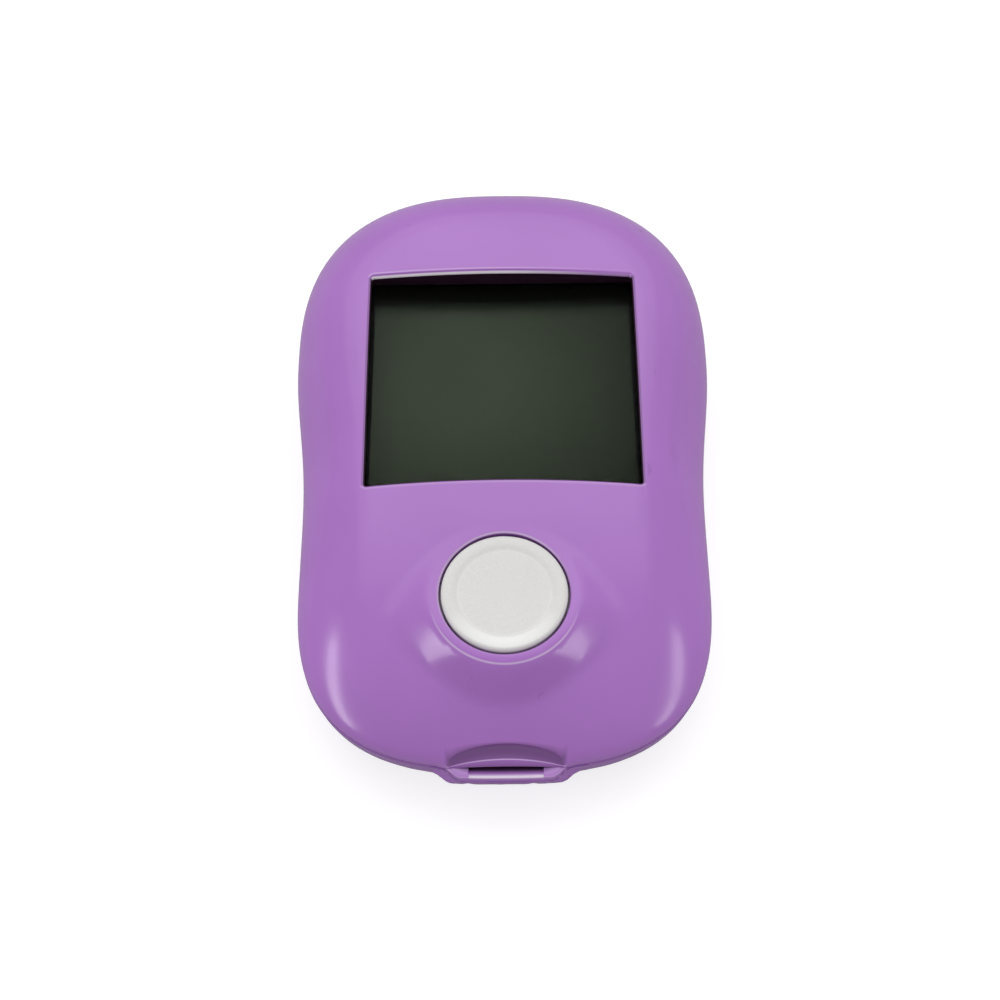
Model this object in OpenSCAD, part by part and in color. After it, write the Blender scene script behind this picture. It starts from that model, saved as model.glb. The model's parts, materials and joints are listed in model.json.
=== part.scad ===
// Hand-held blood glucose meter: two-shell housing with a pinched outline, a display window,
// one round button on a mound and a test-strip port, with everything that it holds inside.
// Millimetres. It lies on its back: +Z out of the display, +Y towards the display end,
// the strip port at the -Y end. The origin is the middle of the base.

/* [Body] */
// Overall length, port nose included
body_len = 85; // [80:0.5:92]
// Width across the display lobe
upper_w = 55.4; // [54:0.2:58]
// Width across the button lobe
lower_w = 51.8; // [51:0.2:54]
// How far the waist is pinched in on each side
pinch = 0.6; // [0:0.1:1.5]
// Height of the joint between the two shells
seam_z = 8.5; // [8:0.1:9]
// Rise from the joint to the widest line of the front shell
belly_rise = 1.1; // [0.6:0.1:1.6]
// Where the display lobe is widest
upper_y = 16; // [13:0.5:18]
// Where the button lobe is widest
lower_y = -17.4; // [-19:0.2:-15]
// Squareness of the display end, 2 is an ellipse
upper_n = 2.7; // [2.4:0.05:3]
// Squareness of the port end, 2 is an ellipse
lower_n = 2.8; // [2.5:0.05:3]
// Width of the rounded edge of the front shell
roll_w = 10; // [9:0.5:11]
// Width of the rounded edge of the rear shell
rear_roll = 8; // [7:0.5:9]
// Straight land of the rear shell below the joint
seam_land = 0.8; // [0.4:0.1:1.2]

/* [Front face] */
// Where the face is highest along its length
crown_y = 8; // [4:1:12]
// Lengthwise crown radius
crown_r = 400; // [380:20:900]
// Crosswise crown radius at the top of the window
cross_r_top = 140; // [130:5:200]
// Crosswise crown radius at the bottom of the window
cross_r_low = 100; // [96:2:140]
// Distance from the port end to where the face starts to fall
bend_room = 34.5; // [32.5:0.5:36.5]
// Length over which the fall grows to its full slope
bend_len = 30; // [24:1:34]
// Full slope of the falling face
bend_slope = 0.26; // [0.2:0.01:0.28]
// Extra slope outside the crease on each side
crease_slope = 0.3; // [0:0.05:0.4]
// Distance of the crease from the middle, at the waist
crease_x = 21.1; // [20.5:0.1:22]
// How much the crease spreads per millimetre towards the display end
crease_spread = 0.22; // [0.18:0.01:0.25]

/* [Display] */
// Window width
window_w = 35.4; // [34:0.2:35.6]
// Window length
window_l = 32.7; // [30:0.1:32.9]
// Middle of the window
window_y = 8.1; // [7.9:0.1:8.4]
// Corner radius of the window
window_r = 0.8; // [0.5:0.1:2]
// How far the lens reaches under the window's edge
lens_overlap = 0.7; // [0.5:0.1:0.8]
// Lens thickness
lens_t = 1; // [0.8:0.1:1.1]
// Depth of the lens below the highest edge of the window
lens_depth = 3.7; // [3.5:0.1:4]
// Thickness of the foam seal on the lens
seal_t = 0.15; // [0.1:0.01:0.2]
// Thickness of each display glass
glass_t = 1; // [0.7:0.1:1.1]
// Thickness of the reflector film
film_t = 0.2; // [0.1:0.05:0.25]
// Wall of the display holder
holder_wall = 0.8; // [0.7:0.05:0.85]

/* [Button] */
// Middle of the button
button_y = -23; // [-23.4:0.1:-22.4]
// Diameter of the button cap
button_d = 15.2; // [14:0.1:15.6]
// Gap round the button cap
button_gap = 0.25; // [0.15:0.05:0.35]
// How far the top of the button's mound lies below the highest edge of the window
mound_drop = 0.9; // [0.5:0.1:2]
// Width of the flat ring round the button
mound_ring = 1.4; // [0.5:0.1:1.6]
// Angle of the mound's flank
mound_angle = 52; // [45:1:55]
// How far the cap's rim stands above the mound
button_proud = 0.3; // [0.1:0.1:0.6]
// Width of the cap's raised rim
rim_w = 1.9; // [1.4:0.1:2.6]
// Depth of the dished middle
dish_depth = 0.4; // [0.3:0.1:0.7]
// Travel of the button
press_travel = 0.4; // [0.2:0.05:0.5]
// Width of the flange that keeps the cap in
flange_w = 0.9; // [0.6:0.1:1.2]

/* [Strip port] */
// How far the port nose stands out of the lower end
nose_out = 1.5; // [1:0.1:2]
// Width of the nose across its flat front
nose_w = 10.8; // [10:0.2:12]
// Width of the port opening
port_w = 14.8; // [14.4:0.1:15.2]
// Height of the port opening above the joint
port_h = 1.4; // [1.35:0.05:1.5]
// Width of the slot mouth
slot_w = 9; // [8.6:0.1:9.4]
// Height of the slot mouth
slot_h = 0.75; // [0.7:0.05:0.8]
// Width of a test strip
strip_w = 7; // [6:0.1:7.2]
// Thickness of a test strip
strip_t = 0.45; // [0.4:0.05:0.5]

/* [Battery] */
// Cell diameter
cell_d = 10.5; // [10:0.1:10.5]
// Cell length with its nub
cell_len = 44.5; // [44:0.1:44.8]
// Gap between the two cells
cell_gap = 0.5; // [0.3:0.1:0.5]
// Room for the contacts at the ends of the cells
contact_room = 5.1; // [4.9:0.1:5.3]
// Distance of the battery bay from the display end
bay_room = 6.9; // [6.6:0.1:7.3]
// Thickness of the battery door
door_t = 1.1; // [1:0.05:1.15]
// How far the battery door reaches past the bay on each side
door_margin = 1.95; // [1.8:0.05:2.2]
// Travel of the battery door to where it lifts off
door_travel = 8; // [6:0.5:8]

/* [Board] */
// Height of the circuit board's underside
board_z = 6.6; // [6.4:0.1:6.7]
// Board thickness
board_t = 1; // [0.8:0.1:1.2]
// Width of the board's arms across the display
board_w = 37.2; // [36.6:0.2:37.4]
// Width of the board under the button
board_low_w = 32.4; // [31.6:0.2:32.6]

/* [Screws] */
// Case screw places on the display side
case_top = [21.9, 24];
// Case screw places on the port side
case_low = [19.3, -24];
// Board screw places on the display side
board_top = [15.5, 29];
// Board screw places on the port side
board_low = [13.2, -30.4];
// Case screw shank diameter
case_screw_d = 2; // [1.8:0.1:2.2]
// Board screw shank diameter
board_screw_d = 1.6; // [1.4:0.1:1.7]

/* [Walls and gaps] */
// Wall of the front shell
front_wall = 1.8; // [1.6:0.1:2]
// Wall of the rear shell
rear_wall = 2; // [1.9:0.1:2.1]
// Gap between fixed pieces
gap = 0.1; // [0.06:0.01:0.12]
// Running gap of sliding pieces
slide_gap = 0.1; // [0.08:0.01:0.12]

/* [Hidden] */

lilac = [0.66, 0.46, 0.75];
dark_lilac = [0.55, 0.37, 0.63];
off_white = [0.85, 0.84, 0.83];
steel = [0.75, 0.75, 0.77];
board_green = [0.1, 0.38, 0.22];
eps = 0.01;
far = 100;

belly_z = seam_z + belly_rise;
tail_y = -body_len / 2 + nose_out;
head_y = body_len / 2;
cap_y = 1;

end_steps = 28;
side_steps = 7;
roll_steps = 7;
cap_rings = 4;

// ---- heights of the battery bay and of the display above it ---------------------------------

bay_wall = 1;
cell_pitch = cell_d + cell_gap;
bay_half = cell_pitch / 2 + cell_d / 2 + 0.5;
cell_z = rear_wall + 0.25 + cell_d / 2;
roof_z = cell_z + cell_d / 2 + 0.15;
roof_t = 0.45;
holder_low = roof_z + roof_t + 2 * gap;
film_low = holder_low + 2 * gap;
film_top = film_low + film_t;
rear_glass_low = film_top + gap / 2;
rear_glass_top = rear_glass_low + glass_t;
front_glass_low = rear_glass_top + gap;
front_glass_top = front_glass_low + glass_t;
lens_low = front_glass_top + 2 * gap;
lens_top = lens_low + lens_t;
seat_z = lens_top + seal_t + gap / 2;
thickness = lens_top + lens_depth;
mound_z = thickness - mound_drop;

// ---- outline -------------------------------------------------------------------------------

function smooth(u) = let (t = min(1, max(0, u))) t * t * (3 - 2 * t);
function super_r(a, b, n, ang) = pow(pow(abs(cos(ang)) / a, n) + pow(abs(sin(ang)) / b, n), -1 / n);
function on_super(a, b, n, ang) = super_r(a, b, n, ang) * [cos(ang), sin(ang)];
function side_x(u, inset) = upper_w / 2 - inset + (lower_w - upper_w) / 2 * smooth(u)
    - pinch * pow(sin(180 * u), 2);
// Angle of step s from the middle of the lower end: steps crowd together where the nose's flanks are
function low_angle(s) = let (k = abs(s)) 270
    + sign(s) * (k <= 2 ? 6.3 * k : k <= 8 ? 12.6 + 1.75 * (k - 2) : 23.1 + 11.15 * (k - 8));

// Closed outline, counter-clockwise from the widest place on the right, set in by inset
function outline(inset) = concat(
    [for (k = [0:end_steps - 1]) [0, upper_y]
        + on_super(upper_w / 2 - inset, head_y - upper_y - inset, upper_n, 180 * k / end_steps)],
    [for (k = [0:side_steps - 1]) let (u = k / side_steps)
        [-side_x(u, inset), upper_y + (lower_y - upper_y) * u]],
    [for (k = [0:end_steps - 1]) [0, lower_y]
        + on_super(lower_w / 2 - inset, lower_y - tail_y - inset, lower_n, low_angle(k - end_steps / 2))],
    [for (k = [0:side_steps - 1]) let (u = 1 - k / side_steps)
        [side_x(u, inset), upper_y + (lower_y - upper_y) * u]]);

// The nose stands out over a band of heights round the joint
nose_flank = 2.6;
nose_low = 4.4;
nose_high = 3;
nose_spread = 1.3;
function nose_half(z) = nose_w / 2 + nose_spread * smooth((seam_z - z) / 2);
function nose_push(x, z) = nose_out * smooth((nose_half(z) + nose_flank - abs(x)) / nose_flank)
    * smooth((z - seam_z + nose_low) / (nose_low - 1))
    * smooth((seam_z + nose_high - z) / (nose_high - 1.4));
function with_nose(p, z) = [p.x, p.y < lower_y ? p.y - nose_push(p.x, z) : p.y, z];

// ---- front face ----------------------------------------------------------------------------

bend_y = -body_len / 2 + bend_room;
window_top_y = window_y + window_l / 2;
window_low_y = window_y - window_l / 2;
function cross_k(y) = 1 / cross_r_low + (1 / cross_r_top - 1 / cross_r_low) * (y - window_low_y) / window_l;
function ramp(t) = t <= 0 ? 0 : t < bend_len ? t * t / (2 * bend_len) : t - bend_len / 2;
crease_end_low = -9;
crease_end_high = 20;
function crease_drop(x, y) = crease_slope * max(0, abs(x) - crease_x - crease_spread * y)
    * smooth((y - crease_end_low) / 9) * smooth((crease_end_high - y) / 3);
crown_z = thickness + pow(window_top_y - crown_y, 2) / (2 * crown_r);
function face_z(x, y) = crown_z - pow(y - crown_y, 2) / (2 * crown_r) - x * x * cross_k(y) / 2
    - bend_slope * ramp(bend_y - y) - crease_drop(x, y);

// ---- lofts ---------------------------------------------------------------------------------

function ring_at(inset, z) = [for (p = outline(inset)) with_nose(p, z)];
function front_ring(inset, rise, depth) = [for (p = outline(inset))
    with_nose(p, belly_z + rise * (face_z(p.x, p.y) - depth - belly_z))];
function cap_ring(inset, share, depth) = [for (p = outline(inset))
    let (q = [p.x * share, cap_y + (p.y - cap_y) * share]) [q.x, q.y, face_z(q.x, q.y) - depth]];

// Closed solid through rings of equal length, with a point at each end
module loft(rings, low_tip, high_tip) {
    n = len(rings[0]);
    m = len(rings);
    points = concat([for (r = rings) each r], [low_tip, high_tip]);
    faces = concat(
        [for (i = [0:m - 2]) for (j = [0:n - 1])
            [i * n + j, (i + 1) * n + (j + 1) % n, i * n + (j + 1) % n]],
        [for (i = [0:m - 2]) for (j = [0:n - 1]) [i * n + j, (i + 1) * n + j, (i + 1) * n + (j + 1) % n]],
        [for (j = [0:n - 1]) [m * n, j, (j + 1) % n]],
        [for (j = [0:n - 1]) [m * n + 1, (m - 1) * n + (j + 1) % n, (m - 1) * n + j]]);
    polyhedron(points, faces);
}

// Space inside the front skin, depth millimetres under it, down to low_z
module front_form(depth, low_z, draft) {
    rings = concat(
        [ring_at(depth + draft, low_z)],
        [ring_at(depth, belly_z)],
        [for (k = [1:roll_steps]) let (a = 90 * k / roll_steps)
            front_ring(depth + (roll_w - depth) * (1 - cos(a)), sin(a), depth)],
        [for (k = [1:cap_rings - 1]) cap_ring(roll_w, 1 - k / cap_rings, depth)]);
    loft(rings, [0, cap_y, low_z], [0, cap_y, face_z(0, cap_y) - depth]);
}

// Space inside the rear skin, depth millimetres inside it, up to high_z
rear_draft = 0.15;
module rear_form(depth, high_z) {
    land_z = seam_z - seam_land;
    rings = concat(
        [for (k = [0:roll_steps - 1]) let (a = 90 * (1 - k / roll_steps))
            ring_at(rear_draft + depth + (rear_roll - depth) * (1 - cos(a)),
                depth + (land_z - depth) * (1 - sin(a)))],
        [ring_at(rear_draft + depth, land_z)],
        [ring_at(depth, high_z)]);
    loft(rings, [0, cap_y, depth], [0, cap_y, high_z]);
}

module plan(inset, z0, z1) {
    translate([0, 0, z0])
        linear_extrude(z1 - z0) polygon([for (p = ring_at(inset, seam_z)) [p.x, p.y]]);
}

module round_rect(w, l, r) {
    union() {
        square([w - 2 * r, l], center = true);
        square([w, l - 2 * r], center = true);
        for (sx = [-1, 1]) for (sy = [-1, 1])
            translate([sx * (w / 2 - r), sy * (l / 2 - r)]) circle(r = r, $fn = 32);
    }
}

module slab(w, l, r, y, z0, z1) {
    translate([0, y, z0]) linear_extrude(z1 - z0) round_rect(w, l, r);
}

module block(x0, x1, y0, y1, z0, z1) {
    translate([x0, y0, z0]) cube([x1 - x0, y1 - y0, z1 - z0]);
}

module post(x, y, r, z0, z1) {
    translate([x, y, z0]) cylinder(r = r, h = z1 - z0, $fn = 48);
}

module at_four(top, low) {
    for (s = [-1, 1]) for (p = [top, low]) translate([s * p.x, p.y, 0]) children();
}

// ---- heights that the pieces share ---------------------------------------------------------

tongue_h = 1;
tongue_t = 0.7;
board_top_z = board_z + board_t;
lens_w = window_w + 2 * lens_overlap;
lens_l = window_l + 2 * lens_overlap;
glass_w = window_w + 1;
glass_l = window_l + 1;
holder_w = glass_w + 2 * gap + 2 * holder_wall;
holder_l = glass_l + 2 * gap + 2 * holder_wall;
well_wall = 0.9;
well_w = holder_w + 2 * gap + 2 * well_wall;
well_l = holder_l + 2 * gap + 2 * well_wall;

case_boss_r = 2.4;
case_post_r = 3.2;
case_head_r = 1.9;
case_head_h = 1.4;
case_seat_z = 3;
case_post_top = 4.2;
case_screw_top = 9.6;
screw_slack = 0.05;
board_boss_r = 2;
board_head_r = 1.5;
board_head_h = 0.9;
board_screw_top = 10.4;

// ---- button --------------------------------------------------------------------------------

hole_r = button_d / 2 + button_gap;
mound_top_r = hole_r + mound_ring;
mound_fillet = 0.5;
mound_depth = 6.6;
under_mound = mound_z - front_wall;

module mound_form(depth, bottom) {
    top = mound_z - depth;
    r = mound_top_r - depth * tan(mound_angle / 2);
    translate([0, button_y, 0]) rotate_extrude($fn = 96)
        polygon([[0, bottom], [r + mound_depth / tan(mound_angle), bottom],
            [r + mound_depth / tan(mound_angle), top - mound_depth],
            [r + mound_fillet * 0.7, top - mound_fillet * 0.7 * tan(mound_angle)],
            [r + mound_fillet * 0.1, top - mound_fillet * 0.25], [r - mound_fillet * 0.5, top], [0, top]]);
}

cap_top = mound_z + button_proud;
flange_top = under_mound - slide_gap;
flange_low = flange_top - 0.9;
flange_r = hole_r + flange_w;
stem_top = flange_low - 0.6;
stem_r = 1.75;
stem_slack = 0.06;
switch_h = 3.6;
switch_w = 6;

module main_button() {
    r = button_d / 2;
    dish_r = r - rim_w;
    color(off_white) translate([0, button_y, 0]) union() {
        rotate_extrude($fn = 96) polygon(concat(
            [for (k = [0:6]) let (t = k / 6) [dish_r * t, cap_top - dish_depth + 0.12 * t * t]],
            [[dish_r + 0.3, cap_top - 0.16], [dish_r + 0.7, cap_top], [r - 0.6, cap_top - 0.03]],
            [for (a = [20:23:89]) [r - 0.6 + 0.6 * sin(a), cap_top - 0.63 + 0.6 * cos(a)]],
            [[r, cap_top - 0.63], [r, flange_top], [flange_r, flange_top], [flange_r, flange_low],
                [r - 0.9, flange_low], [r - 0.9, cap_top - dish_depth - 1.1],
                [2.1, cap_top - dish_depth - 1.1], [1.7, stem_top + gap], [0, stem_top + gap]]));
        for (a = [45:90:359]) rotate(a)
            block(1.2, r - 0.5, -0.4, 0.4, flange_low + 0.2, cap_top - dish_depth - 1);
    }
}

module switch_body() {
    half = switch_w / 2;
    foot_x = half + 0.3;
    color([0.15, 0.15, 0.16]) translate([0, button_y, 0]) difference() {
        union() {
            block(-half, half, -half, half, board_top_z + gap / 2, board_top_z + switch_h);
            post(0, 0, stem_r + 0.7, board_top_z + switch_h - eps, board_top_z + switch_h + 0.5);
            for (sx = [-1, 1]) for (y = [-2.6, 1.9])
                block(sx * foot_x - 0.3, sx * foot_x + 0.3, y, y + 0.7,
                    board_top_z + gap / 2, board_top_z + 1);
        }
        post(0, 0, stem_r + stem_slack, board_top_z + 1.2, far);
    }
}

module switch_stem() {
    color([0.12, 0.12, 0.12]) post(0, button_y, stem_r, board_top_z + 1.3 + press_travel, stem_top);
}

// ---- strip port ----------------------------------------------------------------------------

nose_y = -body_len / 2;
port_depth = 5.6;
port_back = nose_y + port_depth;
lip_y = nose_y + 1.5;
slot_low = seam_z + 0.55;
slot_top = slot_low + slot_h;
jaw_z = seam_z + 1.1;
port_edge = 0.9;
channel_half = strip_w / 2 + 0.2;
channel_low = slot_low + 0.05;
channel_top = slot_low + 0.1 + strip_t + 0.05;

// Doorway standing on the joint, w wide and h high, under an arch that leaves its sides short
module port_arch_2d(w, h) {
    arch = port_h - port_edge;
    r = (port_w * port_w / 4 + arch * arch) / (2 * arch);
    intersection() {
        translate([-w / 2, 0]) square([w, h]);
        translate([0, h - r]) circle(r = r, $fn = 160);
    }
}

module port_prism(w, h, z0, y0, y1) {
    translate([0, y1, z0]) rotate([90, 0, 0]) linear_extrude(y1 - y0) port_arch_2d(w, h);
}

// Cove above the port, with the lip's sloped edge below it
cove_r = 1.8;
cove_bend = 45;
cove_y = tail_y + 0.22;
cove_z = seam_z + 3.75;
lip_t = 0.6;
lip_slope = 0.65;
bezel_wing = 1;
bezel_back_t = 1.2;
bezel_back_h = 2.4;
module scoop() {
    lip_z = seam_z + port_h;
    translate([0, cove_y - cove_bend, cove_z]) rotate_extrude($fn = 180)
        translate([cove_bend, 0]) circle(r = cove_r, $fn = 48);
    translate([-port_w / 2, 0, 0]) rotate([90, 0, 90]) linear_extrude(port_w)
        polygon([[-far, seam_z], [lip_y, seam_z], [lip_y, lip_z], [lip_y + lip_slope, lip_z + lip_t],
            [lip_y, cove_z], [-far, cove_z]]);
}

module strip_port_bezel() {
    floor_z = seam_z + gap / 2;
    half = slot_w / 2;
    mouth_y = nose_y + 0.25;
    color(lilac) difference() {
        union() {
            intersection() {
                port_prism(port_w - 2 * gap, port_h - gap, floor_z, nose_y, port_back);
                plan(0, seam_z - 1, seam_z + port_h + 1);
            }
            block(-port_w / 2 - bezel_wing, port_w / 2 + bezel_wing, port_back - bezel_back_t, port_back,
                floor_z, seam_z + bezel_back_h);
        }
        block(-far, far, -far, lip_y, jaw_z, far);
        // ramp that leads down into the slot
        translate([-half, 0, 0]) rotate([90, 0, 90]) linear_extrude(slot_w)
            polygon([[mouth_y, jaw_z + eps], [lip_y, slot_low], [port_back - 1.6, slot_low],
                [port_back - 1.6, far], [mouth_y, far]]);
        // slanted guides beside the slot
        for (s = [-1, 1]) polyhedron(
            [[s * (half - 0.1), lip_y + 0.4, slot_low + 0.1], [s * (half - 0.1), lip_y + 0.4, slot_top],
                [s * (half - 0.1), mouth_y + 0.4, jaw_z + 0.1], [s * (half + 2), lip_y - 0.1, jaw_z + 0.1]],
            s < 0 ? [[0, 2, 1], [0, 1, 3], [0, 3, 2], [1, 2, 3]]
                : [[0, 1, 2], [0, 3, 1], [0, 2, 3], [1, 3, 2]]);
        // channel that the strip runs in
        block(-channel_half, channel_half, lip_y, far, channel_low, channel_top);
    }
}

connector_side = 2.2;
connector_roof = 1.95;
connector_stop = 1.6;
connector_w = strip_w + 2 * connector_side;
connector_front = port_back + 0.3;
connector_back = button_y - switch_w / 2 - 0.6;
connector_top = channel_top + connector_roof;
contact_pitch = 1.3;
contact_w = 0.5;
contact_slot = contact_w + 0.3;
contact_back = connector_back - 0.7;
contact_foot = 0.9;
contact_t = 0.3;
contact_start = 2.6;
contact_rise = 1.1;
contact_ramp = 1.2;
contact_tip = 0.9;

module strip_connector() {
    color([0.9, 0.88, 0.8]) difference() {
        block(-connector_w / 2, connector_w / 2, connector_front, connector_back,
            board_top_z + gap / 2, connector_top);
        block(-channel_half, channel_half, -far, connector_back - connector_stop, channel_low, channel_top);
        // slots for the contacts: open above the channel and down to the board at the back
        for (k = [-2:2]) translate([k * contact_pitch, 0, 0]) {
            block(-contact_slot / 2, contact_slot / 2, connector_front + contact_start * 0.75, far,
                channel_top - eps, far);
            block(-contact_slot / 2, contact_slot / 2, contact_back - gap, far, 0, far);
        }
    }
}

// Bent leaf springs that press on the strip
module strip_contacts() {
    y0 = connector_front + contact_start;
    y1 = contact_back;
    z0 = channel_top + gap / 2;
    z1 = z0 + contact_rise;
    foot = board_top_z + gap / 2;
    back = y1 + contact_foot;
    color("gold") for (k = [-2:2]) translate([k * contact_pitch + contact_w / 2, 0, 0])
        rotate([0, -90, 0]) linear_extrude(contact_w)
            polygon([[z0 + 2 * contact_t, y0], [z0, y0 + contact_tip], [z1, y1 - contact_ramp], [z1, y1],
                [foot, y1], [foot, back], [foot + contact_t, back], [foot + contact_t, y1 + contact_t],
                [z1 + contact_t, y1 + contact_t], [z1 + contact_t, y1 - contact_ramp - gap],
                [z0 + 1.3 * contact_t, y0 + contact_tip + gap], [z0 + 2.6 * contact_t, y0 + contact_t]]);
}

// ---- battery -------------------------------------------------------------------------------

bay_end = head_y - bay_room;
bay_start = bay_end - contact_room - cell_len;
door_half = bay_half + door_margin;
door_start = bay_start - 2.3;
door_high = 6;
ledge_z = door_t + slide_gap;
opening_half = bay_half + 0.15;
tongue_half = door_half - 0.45;
tongue_z = rear_wall + slide_gap;
tongue_top = tongue_z + 0.9;
tongue_len = 5;
tongue_at = [-10, 14];
shelf_z = tongue_top + 0.3;
shelf_t = 0.8;
shelf_half = door_half + 1.3;
plate_t = 0.3;
nub_len = 0.9;

module door_zone(grow) {
    block(-door_half - grow, door_half + grow, door_start - grow, far, -1, door_high + grow);
}

module battery_door() {
    groove_r = 0.6;
    color(dark_lilac) difference() {
        union() {
            difference() {
                intersection() {
                    rear_form(0, seam_z);
                    door_zone(0);
                }
                rear_form(door_t, seam_z + 1);
                block(-far, far, door_start + 3, bay_end - 4, door_t, far);
            }
            for (s = [-1, 1]) for (y = tongue_at) {
                x0 = min(s * (opening_half - 0.6), s * (opening_half - 0.1));
                block(x0, x0 + 0.5, y, y + tongue_len, door_t - eps, tongue_top);
                x1 = min(s * (opening_half - 0.2), s * tongue_half);
                block(x1, x1 + tongue_half - opening_half + 0.2, y, y + tongue_len, tongue_z, tongue_top);
            }
        }
        for (k = [0:5]) translate([0, door_start + 4 + 1.7 * k, -groove_r + 0.35])
            rotate([0, 90, 0]) cylinder(r = groove_r, h = 15 - k, center = true, $fn = 32);
        block(-far, far, -far, far, -1, 0);
    }
}

module cell(s) {
    y0 = s < 0 ? bay_end - plate_t - cell_len : bay_start + plate_t;
    color(s < 0 ? [0.2, 0.45, 0.75] : [0.2, 0.42, 0.7])
        translate([s * cell_pitch / 2, y0 + (s < 0 ? 0 : cell_len), cell_z])
        rotate([s < 0 ? -90 : 90, 0, 0]) rotate_extrude($fn = 64)
            polygon([[0, 0], [cell_d / 2 - 0.6, 0], [cell_d / 2 - 0.5, 0.25], [cell_d / 2 - 0.2, 0.25],
                [cell_d / 2, 0.5],
                [cell_d / 2, cell_len - nub_len - 0.4], [cell_d / 2 - 0.3, cell_len - nub_len],
                [1.9, cell_len - nub_len], [1.9, cell_len - 0.15], [1.75, cell_len], [0, cell_len]]);
}

module battery_left() { cell(-1); }
module battery_right() { cell(1); }

// Wire swept along a cone-shaped helix about +Z
spring_wire = 0.28;
spring_turns = 4;
spring_steps = 14;
spring_sides = 6;
spring_foot_r = 3.4;
spring_tip_r = 2.2;
module cone_spring(len, r0, r1) {
    n = spring_turns * spring_steps;
    rise = len - 2 * spring_wire;
    function at(k) = let (t = k / n, a = 360 * spring_turns * t, r = r0 + (r1 - r0) * t)
        [r * cos(a), r * sin(a), spring_wire + rise * t];
    points = [for (k = [0:n]) let (c = at(k), a = 360 * spring_turns * k / n)
        for (j = [0:spring_sides - 1]) let (b = 360 * j / spring_sides)
            c + spring_wire * (cos(b) * [cos(a), sin(a), 0] + sin(b) * [0, 0, 1])];
    q = spring_sides;
    faces = concat(
        [for (k = [0:n - 1]) for (j = [0:q - 1])
            [k * q + j, k * q + (j + 1) % q, (k + 1) * q + (j + 1) % q]],
        [for (k = [0:n - 1]) for (j = [0:q - 1]) [k * q + j, (k + 1) * q + (j + 1) % q, (k + 1) * q + j]],
        [[for (j = [q - 1:-1:0]) j]], [[for (j = [0:q - 1]) n * q + j]]);
    polyhedron(points, faces);
}

module battery_springs() {
    spring_len = contact_room - 2 * plate_t - 2 * gap;
    color(steel) for (s = [-1, 1])
        translate([s * cell_pitch / 2, s < 0 ? bay_start + plate_t + gap : bay_end - plate_t - gap, cell_z])
            rotate([s < 0 ? -90 : 90, 0, 0]) cone_spring(spring_len, spring_foot_r, spring_tip_r);
}

module battery_plates() {
    half_h = spring_foot_r + spring_wire;
    wide = bay_half - 0.5;
    color(steel) {
        block(-wide, wide, bay_start + gap / 2, bay_start + plate_t, cell_z - half_h, cell_z + half_h);
        for (s = [-1, 1]) translate([s * (wide + 0.4) / 2, 0, 0])
            block(-wide / 2 + 0.3, wide / 2 - 0.3, bay_end - plate_t, bay_end - gap / 2,
                cell_z - half_h, cell_z + half_h);
    }
}

// ---- shells --------------------------------------------------------------------------------

module front_cover() {
    color(lilac) difference() {
        union() {
            difference() {
                union() {
                    front_form(0, seam_z, 0.12);
                    mound_form(0, seam_z + 2);
                }
                difference() {
                    union() {
                        front_form(front_wall, seam_z - 1, 0);
                        mound_form(front_wall, seam_z + 2);
                    }
                    at_four(case_top, case_low) post(0, 0, case_boss_r, 0, far);
                    at_four(board_top, board_low) post(0, 0, board_boss_r, 0, far);
                    // walls of the display well
                    slab(well_w, well_l, 1.6, window_y, lens_low, far);
                }
            }
            at_four(case_top, case_low) post(0, 0, case_boss_r, case_post_top + gap, seam_z + 2);
            at_four(board_top, board_low) post(0, 0, board_boss_r, board_top_z + gap / 2, seam_z + 2);
        }
        at_four(case_top, case_low) post(0, 0, case_screw_d / 2 + screw_slack, 0, case_screw_top + 0.6);
        at_four(board_top, board_low) post(0, 0, board_screw_d / 2 + screw_slack, 0, board_screw_top + 0.6);
        // step for the rear shell's tongue
        difference() {
            plan(front_wall - tongue_t - gap, 0, seam_z + tongue_h + gap);
            plan(front_wall, 0, far);
        }
        slab(window_w, window_l, window_r, window_y, seam_z, far);
        slab(lens_w + 2 * gap, lens_l + 2 * gap, 1, window_y, seam_z, seat_z);
        slab(holder_w + 2 * gap, holder_l + 2 * gap, 1, window_y, seam_z, lens_low + gap);
        post(0, button_y, hole_r, seam_z, far);
        post(0, button_y, flange_r + slide_gap, seam_z, under_mound);
        scoop();
        port_prism(port_w, port_h, seam_z, -far, port_back);
    }
}

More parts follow.
